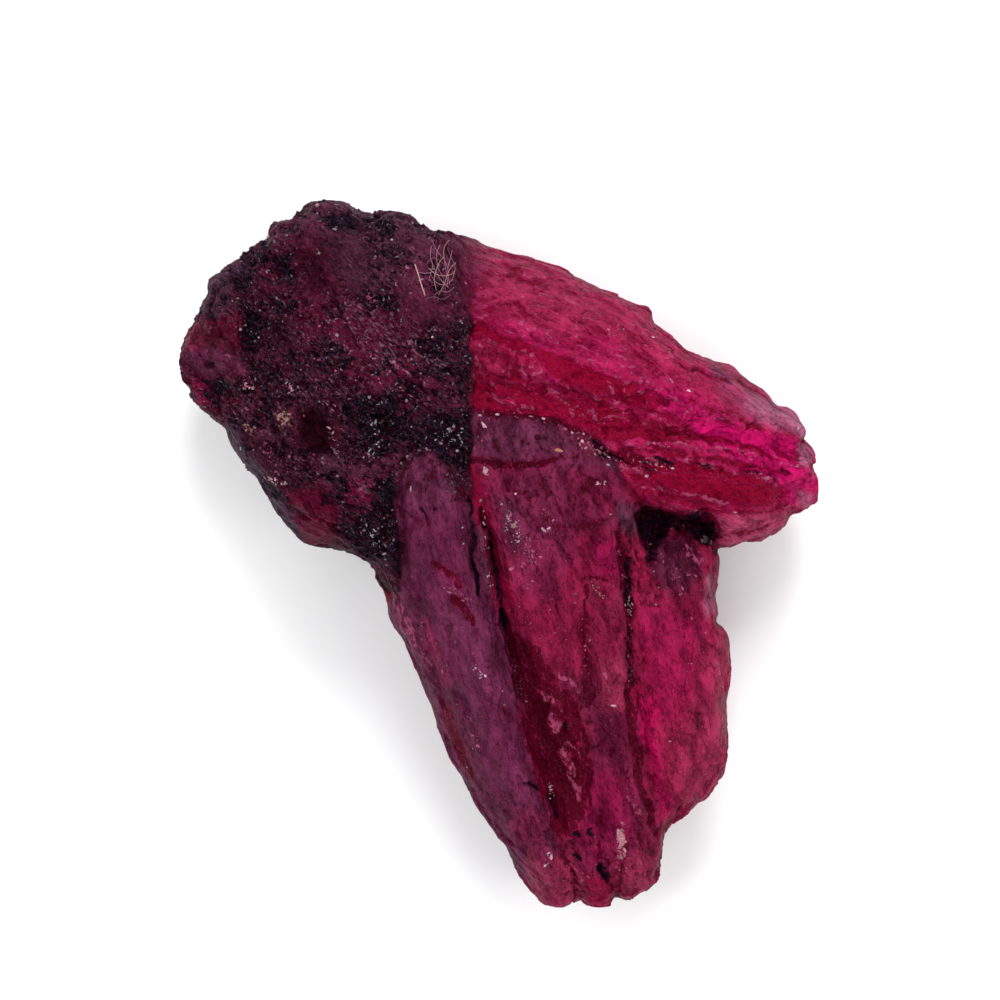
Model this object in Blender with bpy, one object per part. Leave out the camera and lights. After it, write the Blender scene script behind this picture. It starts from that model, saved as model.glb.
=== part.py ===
"""Raw ruby: blades of corundum grown together out of a rough dark lump, lying on a broken flat base.

The cluster is one solid. Its crystals are convex bodies with flat faces, fused into one skin, cut by
the clefts that run between them, roughened as the stone is, and broken off flat underneath.

Sizes are in millimetres until the last step. +X and +Y span the base, and +Z is up out of it.
"""

import math
from collections import namedtuple

import bmesh
import bpy
import numpy as np
from mathutils import Matrix, Vector, noise

MM = 0.001

# Driving dimensions of the whole stone.
LENGTH = 35.6  # along Y, from the lump's peak to the finger tips
WIDTH = 32.2  # along X, from the lump's fan to the wing's tip
HEIGHT = 13.3  # along Z, from the broken base to the top of the lump
VOXEL = 0.24  # size of the grid that fuses the crystals
TRIANGLES = 9400  # of the finished solid
BURIED = 0.5  # how far the crystals reach below the broken base before it is cut

# How the faces of every crystal step in from its widest line.
SHOULDER_HEIGHT = 0.62  # share of the rise from the rim to the crest
SHOULDER_INSET = 0.30  # share of the crest's inset
KEEL_DEPTH = 0.55  # share of the drop from the rim to the floor
KEEL_INSET = 0.34  # share of the floor's inset
FACET_JITTER = 0.16  # unevenness of the crest and floor corners
SKIN_GROWTH = 0.12  # makes up for what smoothing takes off the skin
WALL_CALM = 0.65  # how much less rough the upright walls are than the top

# outline: corners of the widest line, clockwise from above, each with the height of the crest there.
Crystal = namedtuple("Crystal", "name rim inset floor floor_inset outline peaks")

CRYSTALS = (
    Crystal(
        "lump_core", 5.4, 1.2, -BURIED, 2.6,
        (
            (-14.5, 13.6, 10.2), (-13.3, 14.8, 10.6), (-11.9, 15.8, 11.2),
            (-8.8, 16.6, 11.8), (-5.0, 16.6, 12.2),
            (-1.9, 15.5, 12.0), (-0.8, 11.3, 12.6), (-0.6, 6.0, 12.2), (-4.3, 1.8, 11.0),
            (-9.0, 1.7, 10.6), (-12.2, 4.7, 10.2), (-14.2, 7.8, 9.8), (-15.2, 11.0, 9.6),
        ),
        ((-6.4, 9.2, 13.3), (-9.4, 12.0, 12.7), (-4.0, 13.0, 13.0)),
    ),
    Crystal(
        "wing_heart", 5.0, 1.6, 0.3, 2.6,
        (
            (-3.0, 14.9, 11.5), (1.0, 14.3, 11.1), (5.0, 12.6, 10.4), (8.0, 10.7, 9.8),
            (12.6, 8.0, 8.8), (14.9, 6.2, 7.8), (15.4, 4.0, 7.2), (13.6, 1.8, 7.0),
            (10.4, 1.2, 7.5), (5.0, 2.6, 9.4), (-1.0, 6.0, 11.2), (-3.0, 9.6, 11.9),
        ),
        ((1.0, 9.6, 11.8), (7.5, 7.0, 10.6)),
    ),
    Crystal(
        "finger_heart", 4.8, 1.2, -0.3, 2.4,
        (
            (-5.0, 3.0, 10.9), (-2.8, 5.2, 11.2), (2.0, 6.0, 10.7), (7.0, 3.4, 9.2),
            (10.2, 0.8, 7.5), (10.6, -4.0, 7.3), (10.6, -9.0, 7.1), (8.4, -12.4, 7.0),
            (7.6, -15.4, 6.9), (6.0, -16.8, 6.4), (3.0, -17.0, 6.6), (0.6, -14.4, 7.6),
            (-1.6, -10.2, 8.7), (-4.0, -5.2, 9.4), (-5.5, -0.8, 9.9),
        ),
        ((1.0, 0.0, 11.2), (3.4, -6.6, 10.3), (4.6, -12.0, 9.0), (4.4, -15.6, 7.9)),
    ),
    Crystal(
        "buried_core", 3.0, 1.0, -BURIED, 0.6,
        (
            (-11.0, 12.6, 8.0), (-3.0, 14.0, 8.0), (2.0, 10.6, 8.0), (7.6, 5.6, 7.4),
            (9.8, -0.6, 6.4), (9.6, -10.4, 6.0), (6.8, -15.2, 5.4), (3.4, -15.6, 5.4),
            (-0.6, -10.6, 6.4), (-3.6, -4.4, 7.0), (-7.6, 2.4, 7.4), (-12.4, 8.6, 7.6),
        ),
        (),
    ),
    Crystal(
        "lump_fan", 5.0, 1.5, 1.6, 1.6,
        (
            (-16.15, 9.9, 7.6), (-15.9, 10.7, 7.9), (-15.25, 11.9, 8.6), (-14.6, 13.1, 9.4),
            (-12.4, 13.6, 11.2), (-10.4, 10.7, 12.0), (-11.2, 7.6, 11.2), (-13.6, 6.3, 9.2),
            (-15.0, 7.6, 8.0), (-15.6, 8.3, 7.6), (-15.95, 9.1, 7.4),
        ),
        ((-13.0, 11.4, 11.6),),
    ),
    Crystal(
        "lump_peak", 5.6, 1.0, 1.2, 1.8,
        (
            (-12.2, 15.3, 9.6), (-11.5, 16.2, 9.8), (-10.5, 16.9, 10.2), (-9.6, 17.5, 10.6),
            (-8.7, 17.85, 11.0), (-7.7, 17.6, 11.2), (-6.8, 16.9, 11.4), (-7.4, 13.6, 12.4),
            (-10.6, 13.2, 12.0),
        ),
        ((-8.8, 15.0, 12.4),),
    ),
    Crystal(
        "lump_shoulder", 5.8, 1.0, 1.4, 1.6,
        (
            (-7.0, 16.8, 11.0), (-6.2, 17.15, 11.2), (-4.9, 17.2, 11.4), (-4.1, 16.7, 11.4),
            (-3.3, 16.2, 11.6), (-2.0, 15.9, 11.3), (-3.0, 13.6, 12.5), (-6.0, 13.6, 12.6),
        ),
        ((-4.9, 15.2, 12.5),),
    ),
    Crystal(
        "lump_flank", 5.2, 0.9, 0.8, 1.8,
        (
            (-10.0, 7.6, 11.8), (-7.6, 4.3, 11.6), (-9.8, 1.8, 10.2), (-11.6, 2.7, 8.8),
            (-12.2, 3.7, 8.6), (-12.9, 4.6, 8.4), (-13.3, 5.3, 8.4), (-13.6, 6.2, 8.6),
            (-14.2, 7.2, 8.8),
        ),
        (),
    ),
    Crystal(
        "lump_foot", 4.8, 1.0, -BURIED, 1.8,
        (
            (-10.2, 4.4, 10.6), (-7.0, 4.3, 11.2), (-4.8, 1.8, 11.0), (-6.2, -0.4, 9.4),
            (-7.2, 0.1, 8.8), (-8.1, 0.4, 8.2), (-9.0, 0.55, 7.8), (-10.0, 0.95, 7.8),
            (-10.9, 1.8, 8.2), (-11.6, 2.8, 8.8),
        ),
        ((-8.8, 2.7, 11.1),),
    ),
    Crystal(
        "lump_root", 4.8, 1.0, 0.6, 1.4,
        (
            (-8.0, 5.0, 12.0), (-4.6, 6.4, 12.2), (-3.1, 3.6, 11.7), (-3.8, -1.2, 10.3),
            (-5.0, -1.8, 9.6), (-6.3, -0.3, 9.4), (-8.0, 1.6, 10.2),
        ),
        (),
    ),
    Crystal(
        "lump_neck", 4.8, 0.5, 0.8, 1.4,
        (
            (-4.0, 7.4, 12.0), (-0.8, 7.0, 11.7), (-0.4, 4.6, 11.4), (-1.0, 1.6, 11.1),
            (-2.2, 1.8, 11.3), (-3.6, 5.2, 11.7),
        ),
        (),
    ),
    Crystal(
        "wing_root", 5.6, 1.9, 0.6, 2.6,
        (
            (-5.0, 15.9, 11.4), (-1.9, 15.8, 11.3), (-0.9, 15.6, 11.1), (0.5, 15.1, 11.0),
            (2.0, 14.6, 10.9), (3.5, 13.9, 10.8), (5.0, 13.3, 10.6), (6.5, 12.75, 10.4),
            (7.3, 12.0, 10.2), (7.9, 11.2, 10.2), (9.6, 7.0, 11.0), (6.4, 6.2, 11.5),
            (3.0, 8.0, 12.1), (-1.5, 9.2, 12.4), (-5.0, 10.0, 12.5),
        ),
        (),
    ),
    Crystal(
        "wing_flank", 5.2, 1.9, 1.6, 2.2,
        (
            (6.6, 12.1, 10.2), (8.3, 10.8, 9.9), (9.4, 10.05, 9.7), (10.4, 9.5, 9.5),
            (11.3, 9.05, 9.3), (12.4, 8.55, 9.0), (13.2, 8.05, 8.7), (13.9, 7.5, 8.4),
            (14.8, 7.2, 7.9), (15.15, 6.5, 7.6), (15.15, 5.7, 8.0), (14.6, 4.8, 8.5),
            (9.8, 4.7, 10.3), (5.8, 6.1, 11.2),
        ),
        (),
    ),
    Crystal(
        "wing_step", 5.0, 0.7, 1.0, 2.2,
        (
            (-2.6, 10.4, 11.8), (1.0, 10.0, 11.4), (3.2, 9.0, 11.1), (7.0, 6.9, 10.4),
            (11.0, 5.5, 9.5), (15.0, 5.0, 8.2), (15.4, 4.5, 7.8), (14.6, 3.8, 8.2),
            (10.0, 4.2, 9.5), (6.2, 4.9, 10.4), (3.0, 6.4, 11.2), (-1.0, 7.2, 11.6),
            (-2.8, 7.8, 11.8),
        ),
        (),
    ),
    Crystal(
        "wing_belly", 4.6, 1.2, 1.0, 2.2,
        (
            (4.6, 7.4, 10.4), (10.0, 6.8, 9.7), (13.8, 6.2, 8.7), (15.5, 4.7, 7.5),
            (15.95, 3.7, 6.8), (16.1, 3.2, 6.6), (15.75, 2.6, 6.6), (15.0, 2.2, 6.9),
            (14.4, 1.7, 7.5), (13.6, 1.1, 7.7), (12.8, 0.65, 7.8), (10.8, 0.4, 7.9),
            (9.3, 1.2, 8.5), (7.0, 1.9, 9.0), (4.8, 2.6, 9.6),
        ),
        ((9.0, 4.4, 10.1), (12.6, 3.4, 9.1)),
    ),
    Crystal(
        "wing_nodule", 5.4, 0.5, 3.0, 0.8,
        ((14.0, 7.2, 8.3), (15.1, 6.6, 7.7), (15.25, 5.8, 7.6), (15.0, 5.2, 7.9), (13.8, 5.4, 8.6)),
        (),
    ),
    Crystal(
        "wing_tip", 5.0, 0.5, 2.8, 0.8,
        ((14.6, 5.4, 7.8), (15.35, 5.3, 7.2), (15.7, 4.6, 7.0), (15.8, 3.9, 7.0), (14.6, 3.7, 7.8)),
        (),
    ),
    Crystal(
        "slab_head", 4.4, 0.8, 0.8, 1.8,
        (
            (5.2, 2.3, 9.0), (8.0, 1.9, 8.3), (10.0, 1.2, 7.8), (10.75, 0.4, 7.6),
            (10.95, -0.4, 7.7), (10.85, -1.4, 7.9), (10.7, -3.2, 8.2), (7.0, -4.4, 9.4),
            (5.2, -1.2, 9.6),
        ),
        (),
    ),
    Crystal(
        "slab_blade", 4.4, 0.8, 0.9, 2.0,
        (
            (5.2, -1.6, 9.4), (10.6, -2.0, 8.4), (11.1, -3.3, 8.1), (11.4, -4.4, 8.0),
            (11.5, -5.6, 8.0), (11.4, -7.0, 8.0), (11.3, -8.5, 7.9), (11.15, -9.9, 7.7),
            (10.9, -11.1, 7.4), (10.2, -12.2, 7.3), (9.2, -13.1, 7.2), (8.2, -13.8, 7.2),
            (6.8, -13.6, 7.7), (5.9, -9.2, 8.7), (5.3, -5.2, 9.3),
        ),
        ((8.6, -5.6, 9.2), (8.6, -9.6, 8.8)),
    ),
    Crystal(
        "centre_block", 5.0, 0.6, -BURIED, 2.0,
        (
            (-3.0, 8.2, 11.8), (3.0, 7.2, 11.3), (6.3, 5.7, 10.6), (6.8, 2.8, 10.2),
            (6.6, -0.4, 10.1), (6.2, -3.4, 10.1), (6.0, -9.6, 9.5), (5.0, -12.4, 8.9),
            (2.8, -10.4, 9.6), (0.7, -4.0, 11.0), (-0.4, -0.4, 11.4), (-1.4, 3.0, 11.6),
            (-3.0, 5.4, 11.8),
        ),
        (),
    ),
    Crystal(
        "centre_spear", 4.8, 0.7, -0.2, 1.8,
        (
            (4.6, 0.2, 9.6), (6.3, 0.0, 9.9), (6.8, -4.2, 10.2), (7.3, -8.2, 9.9),
            (7.8, -11.8, 9.0), (8.1, -13.9, 8.2), (8.1, -15.5, 7.4), (7.8, -16.5, 7.0),
            (7.0, -17.1, 6.9), (6.0, -17.2, 7.0), (5.2, -16.0, 8.0), (4.7, -12.2, 9.3),
            (4.1, -8.6, 10.0), (4.1, -4.6, 10.1),
        ),
        ((5.6, -6.0, 10.8), (6.2, -10.2, 10.2)),
    ),
    Crystal(
        "middle_sliver", 4.6, 0.7, 0.4, 1.4,
        (
            (0.6, -4.0, 9.4), (3.0, -6.6, 9.3), (4.6, -9.2, 9.0), (5.2, -12.2, 8.6),
            (5.6, -15.4, 8.0), (5.7, -17.1, 7.0), (5.1, -17.8, 6.6), (4.4, -17.6, 6.8),
            (3.6, -16.8, 7.6), (2.8, -13.6, 8.4), (1.9, -10.6, 8.8), (1.1, -7.4, 9.2),
        ),
        (),
    ),
    Crystal(
        "left_finger", 4.8, 1.5, -BURIED, 2.2,
        (
            (-4.6, 3.9, 11.9), (-3.5, 5.0, 12.1), (-2.2, 4.7, 12.1), (-1.1, 2.9, 11.9),
            (-0.4, -0.6, 11.6), (0.5, -4.2, 11.2), (1.3, -7.2, 10.8), (2.3, -10.2, 10.3),
            (3.2, -12.8, 9.8), (3.8, -15.6, 8.8), (4.0, -17.0, 7.6), (3.5, -17.6, 7.2),
            (2.4, -17.65, 7.2), (1.8, -17.2, 7.4), (1.05, -16.0, 8.2), (0.35, -14.9, 8.6),
            (-0.4, -13.7, 8.9), (-1.25, -12.3, 9.1), (-1.95, -10.5, 9.3), (-2.5, -9.4, 9.4),
            (-3.1, -8.1, 9.5), (-3.6, -6.8, 9.7), (-4.25, -5.4, 9.9), (-4.9, -4.1, 10.1),
            (-5.35, -2.8, 10.3), (-5.9, -1.2, 10.4), (-6.0, -0.6, 10.5), (-5.4, 2.2, 11.4),
        ),
        ((-2.6, -1.0, 12.2), (-0.4, -8.0, 11.4)),
    ),
)

# Clefts where crystals meet: (half width, depth, points along it).
CLEFTS = (
    (
        0.45, 0.6,
        ((-1.35, 4.4), (-0.9, 1.4), (-0.1, -1.6), (0.7, -4.6), (1.5, -7.4), (2.4, -9.8), (3.3, -12.6)),
    ),
    (0.40, 0.2, ((6.1, 2.6), (6.1, -0.2), (6.5, -3.6), (6.9, -7.2), (7.5, -11.0), (8.0, -13.2))),
    (0.40, 0.2, ((-1.3, 7.1), (2.6, 6.5), (5.6, 5.2), (7.4, 4.5))),
    (0.50, 0.5, ((-4.6, 4.0), (-5.2, 1.6), (-4.9, -1.2))),
    (0.70, 0.4, ((6.9, 1.9), (8.2, 1.5), (9.6, 1.5), (10.7, 0.9))),
    (0.40, 0.3, ((2.5, -8.4), (3.5, -10.6), (4.6, -13.2), (5.1, -15.2))),
    (0.35, 0.4, ((4.2, -2.4), (4.4, -5.0), (4.2, -7.6))),
    (0.35, 0.3, ((3.5, -15.8), (4.2, -17.0), (4.6, -17.8))),
    (0.35, 0.3, ((5.4, -15.6), (5.9, -16.6), (6.0, -17.4))),
)

# Knobs and ledges of the rough lump: (x, y, radius, height), where a negative height is a pit.
KNOBS = (
    (-8.6, 16.2, 1.5, 0.2), (-5.2, 16.0, 1.3, 0.2), (-11.2, 15.0, 1.3, 0.4), (-14.6, 10.6, 1.4, 0.4),
    (-13.4, 8.6, 1.1, -0.5), (-12.4, 11.2, 1.2, -0.7), (-10.2, 13.8, 0.9, -0.5), (-6.2, 14.9, 1.0, -0.5),
    (-9.0, 2.4, 1.5, 0.5), (-11.4, 4.8, 1.2, 0.3), (-5.0, 6.6, 1.8, -0.6), (-8.4, 8.0, 1.6, 0.3),
    (-2.4, 9.4, 1.3, 0.3), (-6.8, 1.6, 1.2, -0.5), (-3.6, 13.2, 1.4, 0.3), (-11.6, 7.6, 1.0, 0.3),
    (2.6, 9.3, 1.2, 0.45), (1.0, 8.9, 0.9, 0.3), (14.6, 6.4, 0.8, 0.2), (15.2, 4.7, 0.6, 0.2),
    (2.9, -8.3, 0.9, 0.3), (3.0, -17.0, 0.9, 0.2), (5.1, -17.0, 0.7, 0.2), (7.2, -15.6, 1.0, 0.2),
)

LUMP_EDGE_X = -1.4  # the rough lump ends here, towards +X
LUMP_EDGE_Y = 2.4  # and here, towards -Y, where the fingers start
WING_AXIS = math.radians(-26)  # direction in which the wing's crystals run
FINGER_AXIS = math.radians(-74)  # direction in which the fingers and the slab run

STONE_COLOUR = (0.20, 0.006, 0.040, 1.0)
STONE_ROUGHNESS = 0.42


def clear_scene():
    for thing in list(bpy.data.objects):
        bpy.data.objects.remove(thing)


def inward_normals(outline):
    """The unit direction into the outline at each of its corners."""
    count = len(outline)
    normals = []
    for i in range(count):
        before, here, after = (Vector(outline[k % count][:2]) for k in (i - 1, i, i + 1))
        first, second = (here - before).normalized(), (after - here).normalized()
        normals.append(Vector((first.y + second.y, -first.x - second.x)).normalized())
    return normals


def add_crystal(target, crystal, seed):
    """Adds one crystal: the convex hull of its floor, keel, rim, shoulder and crest rings."""
    corners = [Vector(peak) for peak in crystal.peaks]
    for number, ((x, y, crest), inward) in enumerate(zip(crystal.outline, inward_normals(crystal.outline))):
        shoulder = crystal.rim + SHOULDER_HEIGHT * (crest - crystal.rim)
        keel = crystal.rim + KEEL_DEPTH * (crystal.floor - crystal.rim)
        rings = (
            (crystal.inset, crest, FACET_JITTER),
            (crystal.inset * SHOULDER_INSET, shoulder, FACET_JITTER / 2),
            (0.0, crystal.rim, 0.0),
            (crystal.floor_inset * KEEL_INSET, keel, FACET_JITTER / 2),
            (crystal.floor_inset, crystal.floor, FACET_JITTER),
        )
        for inset, z, jitter in rings:
            shift = noise.noise_vector(Vector((seed * 7.3, number * 3.1, z))) * jitter
            plan = Vector((x, y)) + inward * inset
            corners.append(Vector((plan.x, plan.y, z)) + shift)
    hull = bmesh.new()
    made = [hull.verts.new(corner) for corner in corners]
    found = bmesh.ops.convex_hull(hull, input=made)
    bmesh.ops.delete(hull, geom=list(set(found["geom_interior"] + found["geom_unused"])), context="VERTS")
    bmesh.ops.recalc_face_normals(hull, faces=hull.faces)
    piece = bpy.data.meshes.new(crystal.name)
    hull.to_mesh(piece)
    hull.free()
    target.from_mesh(piece)
    bpy.data.meshes.remove(piece)


def cluster_mesh():
    """All the crystals, still overlapping."""
    target = bmesh.new()
    for seed, crystal in enumerate(CRYSTALS, 1):
        add_crystal(target, crystal, seed)
    mesh = bpy.data.meshes.new("cluster")
    target.to_mesh(mesh)
    target.free()
    return mesh


def through_modifier(mesh, kind, **settings):
    """The mesh as one modifier leaves it."""
    holder = bpy.data.objects.new("holder", mesh)
    bpy.context.scene.collection.objects.link(holder)
    modifier = holder.modifiers.new(kind.title(), kind)
    for name, value in settings.items():
        setattr(modifier, name, value)
    graph = bpy.context.evaluated_depsgraph_get()
    made = bpy.data.meshes.new_from_object(holder.evaluated_get(graph))
    bpy.data.objects.remove(holder)
    bpy.data.meshes.remove(mesh)
    return made


def smoothstep(low, high, value):
    share = np.clip((value - low) / (high - low), 0, 1)
    return share * share * (3 - 2 * share)


def distance_to_line(plan, points):
    """How far each place in plan is from a line of straight runs, and how far along it, from 0 to 1."""
    nearest = np.full(len(plan), np.inf)
    along = np.zeros(len(plan))
    points = np.array(points)
    runs = len(points) - 1
    for i in range(runs):
        step = points[i + 1] - points[i]
        share = np.clip(((plan - points[i]) @ step) / (step @ step), 0, 1)
        gap = np.linalg.norm(plan - points[i] - share[:, None] * step, axis=1)
        closer = gap < nearest
        nearest[closer] = gap[closer]
        along[closer] = (i + share[closer]) / runs
    return nearest, along


def fractal(places, size, stretch=(1, 1, 1), octaves=3):
    """Smooth noise from about -1 to 1, with lumps of that size."""
    scaled = places / (np.array(stretch) * size)
    return np.array([noise.fractal(Vector(place), 0.8, 2.0, octaves) for place in scaled])


def along_axis(places, angle):
    """Places turned so that their first number runs along the crystals."""
    turned = places.copy()
    turned[:, 0] = places[:, 0] * math.cos(angle) + places[:, 1] * math.sin(angle)
    turned[:, 1] = -places[:, 0] * math.sin(angle) + places[:, 1] * math.cos(angle)
    return turned


def lump_share(places):
    """1 on the rough lump and 0 on the bladed crystals."""
    left = smoothstep(LUMP_EDGE_X + 0.4, LUMP_EDGE_X - 0.4, places[:, 0])
    above = smoothstep(LUMP_EDGE_Y - 4.0, LUMP_EDGE_Y, places[:, 1])
    root = smoothstep(-4.3, -5.0, places[:, 0] + 0.12 * (places[:, 1] - 2.0))
    crown = smoothstep(4.6, 5.2, places[:, 1])
    return left * above * np.maximum(root, crown)


def wing_share(places):
    """1 on the wing and 0 on the fingers, the slab and the lump."""
    edge = 6.8 - 0.42 * np.maximum(places[:, 0] - 2.0, 0) - 0.35 * np.maximum(places[:, 0] - 8.0, 0)
    right = smoothstep(LUMP_EDGE_X - 0.4, LUMP_EDGE_X + 0.4, places[:, 0])
    return smoothstep(-0.4, 0.4, places[:, 1] - edge) * right


def carve(places, normals):
    """How far each place moves out of the skin: the clefts, knobs, ledges and roughness of the stone."""
    plan = places[:, :2]
    upward = smoothstep(0.0, 0.5, normals[:, 2])
    lump, wing = lump_share(places), wing_share(places)
    fingers = (1 - lump) * (1 - wing)
    moved = np.zeros(len(places))
    for half_width, depth, points in CLEFTS:
        gap, along = distance_to_line(plan, points)
        fade = smoothstep(0.0, 0.12, along) * smoothstep(1.0, 0.9, along)
        moved -= upward * depth * fade * np.exp(-((gap / half_width) ** 2))
    for x, y, radius, height in KNOBS:
        gap = np.hypot(plan[:, 0] - x, plan[:, 1] - y)
        moved += upward * height * np.exp(-((gap / radius) ** 2) * 1.5)
    moved += lump * (0.34 * fractal(places, 2.2) + 0.20 * fractal(places + 9.0, 0.9))
    for share, angle in ((wing, WING_AXIS), (fingers, FINGER_AXIS)):
        turned = along_axis(places, angle)
        moved += share * 0.20 * fractal(turned + 4.0, 1.6, (3.4, 1, 1))
        moved += share * 0.10 * fractal(turned + 21.0, 0.7, (5.0, 1, 1))
    moved += (1 - upward) * 0.22 * fractal(places + 31.0, 1.9, (1, 1, 0.6))
    walls = np.exp(-((normals[:, 2] / 0.45) ** 2))
    return SKIN_GROWTH + moved * (1 - WALL_CALM * walls)


def relief(mesh):
    """Moves the skin in and out along its normals."""
    count = len(mesh.vertices)
    places, normals = np.empty(count * 3), np.empty(count * 3)
    mesh.vertices.foreach_get("co", places)
    mesh.vertices.foreach_get("normal", normals)
    places, normals = places.reshape(-1, 3), normals.reshape(-1, 3)
    places = places + normals * carve(places, normals)[:, None]
    mesh.vertices.foreach_set("co", places.ravel())
    mesh.update()


def cut_base(mesh):
    """Breaks the stone off flat at z = 0."""
    shape = bmesh.new()
    shape.from_mesh(mesh)
    everything = shape.verts[:] + shape.edges[:] + shape.faces[:]
    cut = bmesh.ops.bisect_plane(shape, geom=everything, plane_no=(0, 0, 1), clear_inner=True)
    rim = [item for item in cut["geom_cut"] if isinstance(item, bmesh.types.BMEdge)]
    bmesh.ops.holes_fill(shape, edges=rim, sides=0)
    bmesh.ops.triangulate(shape, faces=shape.faces[:])
    bmesh.ops.recalc_face_normals(shape, faces=shape.faces[:])
    shape.to_mesh(mesh)
    shape.free()


def fit_to_size(mesh):
    """Centres the stone over the origin and brings it to its width, length and height."""
    places = np.array([vertex.co for vertex in mesh.vertices])
    low, high = places.min(axis=0), places.max(axis=0)
    scale = np.array((WIDTH, LENGTH, HEIGHT)) / (high - low)
    middle = (low + high) / 2
    onto_base = Matrix.Translation((-middle[0], -middle[1], -low[2]))
    mesh.transform(Matrix.Diagonal((*scale, 1.0)) @ onto_base)


def stone_material():
    material = bpy.data.materials.new("ruby")
    material.use_nodes = True
    surface = material.node_tree.nodes["Principled BSDF"]
    surface.inputs["Base Color"].default_value = STONE_COLOUR
    surface.inputs["Roughness"].default_value = STONE_ROUGHNESS
    surface.inputs["Metallic"].default_value = 0.0
    return material


def main():
    clear_scene()
    mesh = through_modifier(cluster_mesh(), "REMESH", mode="VOXEL", voxel_size=VOXEL)
    mesh = through_modifier(mesh, "SMOOTH", factor=0.5, iterations=8)
    relief(mesh)
    mesh = through_modifier(mesh, "REMESH", mode="VOXEL", voxel_size=VOXEL)
    mesh = through_modifier(mesh, "SMOOTH", factor=0.5, iterations=1)
    share = TRIANGLES / (2 * len(mesh.polygons))
    mesh = through_modifier(mesh, "DECIMATE", ratio=share)
    cut_base(mesh)
    fit_to_size(mesh)
    mesh.transform(Matrix.Scale(MM, 4))
    mesh.name = "ruby_crystal"
    mesh.materials.append(stone_material())
    stone = bpy.data.objects.new("ruby_crystal", mesh)
    bpy.context.scene.collection.objects.link(stone)


main()
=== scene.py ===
"""Raw ruby: a rough corundum lump and the bladed crystals that grow out of it, finished and set in a studio.

Lengths are in millimetres until a mesh is done, and then in metres, as the frame is. Places on the stone are
given on a drawing sheet laid over it: steps to the right and steps down, 20 to the millimetre.
"""

import math
from collections import namedtuple

import bmesh
import bpy
import numpy as np
from bpy.props import FloatProperty, FloatVectorProperty, IntProperty, PointerProperty
from mathutils import Matrix, Vector
from mathutils.bvhtree import BVHTree


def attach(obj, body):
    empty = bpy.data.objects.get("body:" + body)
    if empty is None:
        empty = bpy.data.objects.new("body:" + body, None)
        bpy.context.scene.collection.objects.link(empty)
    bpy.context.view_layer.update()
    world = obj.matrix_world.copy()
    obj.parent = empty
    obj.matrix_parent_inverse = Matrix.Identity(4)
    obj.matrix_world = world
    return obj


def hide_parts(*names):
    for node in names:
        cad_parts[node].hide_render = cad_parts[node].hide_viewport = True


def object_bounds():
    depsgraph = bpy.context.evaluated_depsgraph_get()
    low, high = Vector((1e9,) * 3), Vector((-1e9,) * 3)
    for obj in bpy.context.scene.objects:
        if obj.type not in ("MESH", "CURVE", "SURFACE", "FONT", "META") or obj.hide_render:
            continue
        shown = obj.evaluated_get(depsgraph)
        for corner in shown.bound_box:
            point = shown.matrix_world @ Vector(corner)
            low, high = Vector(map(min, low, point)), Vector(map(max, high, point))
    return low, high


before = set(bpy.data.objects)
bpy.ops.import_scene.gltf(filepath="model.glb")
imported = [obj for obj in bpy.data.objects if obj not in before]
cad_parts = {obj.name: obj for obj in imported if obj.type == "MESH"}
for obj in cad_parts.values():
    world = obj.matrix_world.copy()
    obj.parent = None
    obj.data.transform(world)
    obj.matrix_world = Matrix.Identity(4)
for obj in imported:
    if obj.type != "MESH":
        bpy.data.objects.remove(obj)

bl_info = {
    "name": "Raw Ruby",
    "version": (1, 0, 0),
    "blender": (4, 5, 0),
    "location": "View3D > Sidebar > Raw Ruby",
    "description": "Finishes a rough ruby crystal with its grains and lint, and lights it in a studio",
    "category": "Object",
}

NODE = "ruby_crystal"
CAD_LOW, CAD_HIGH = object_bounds()

# The drawing sheet: where the stone's origin lies on it, and how many steps make a millimetre.
SHEET_ORIGIN = (500.0, 555.0)
STEPS_PER_MM = 20.0
MM_PER_METRE = 1000

WING_ANGLE = math.radians(-26)  # the wing's blades run this way
FINGER_ANGLE = math.radians(-74)  # and the fingers' this way
GRIT_ANGLE = math.radians(-40)  # the lump's grains lie this way
SEED = 11


def paint_of(red, green, blue):
    """A paint mixed as it looks on a screen, from 0 to 255, as the light it gives back."""
    light = []
    for part in (red, green, blue):
        share = part / 255
        light.append(share / 12.92 if share <= 0.04045 else ((share + 0.055) / 1.055) ** 2.4)
    return tuple(light)


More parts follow.
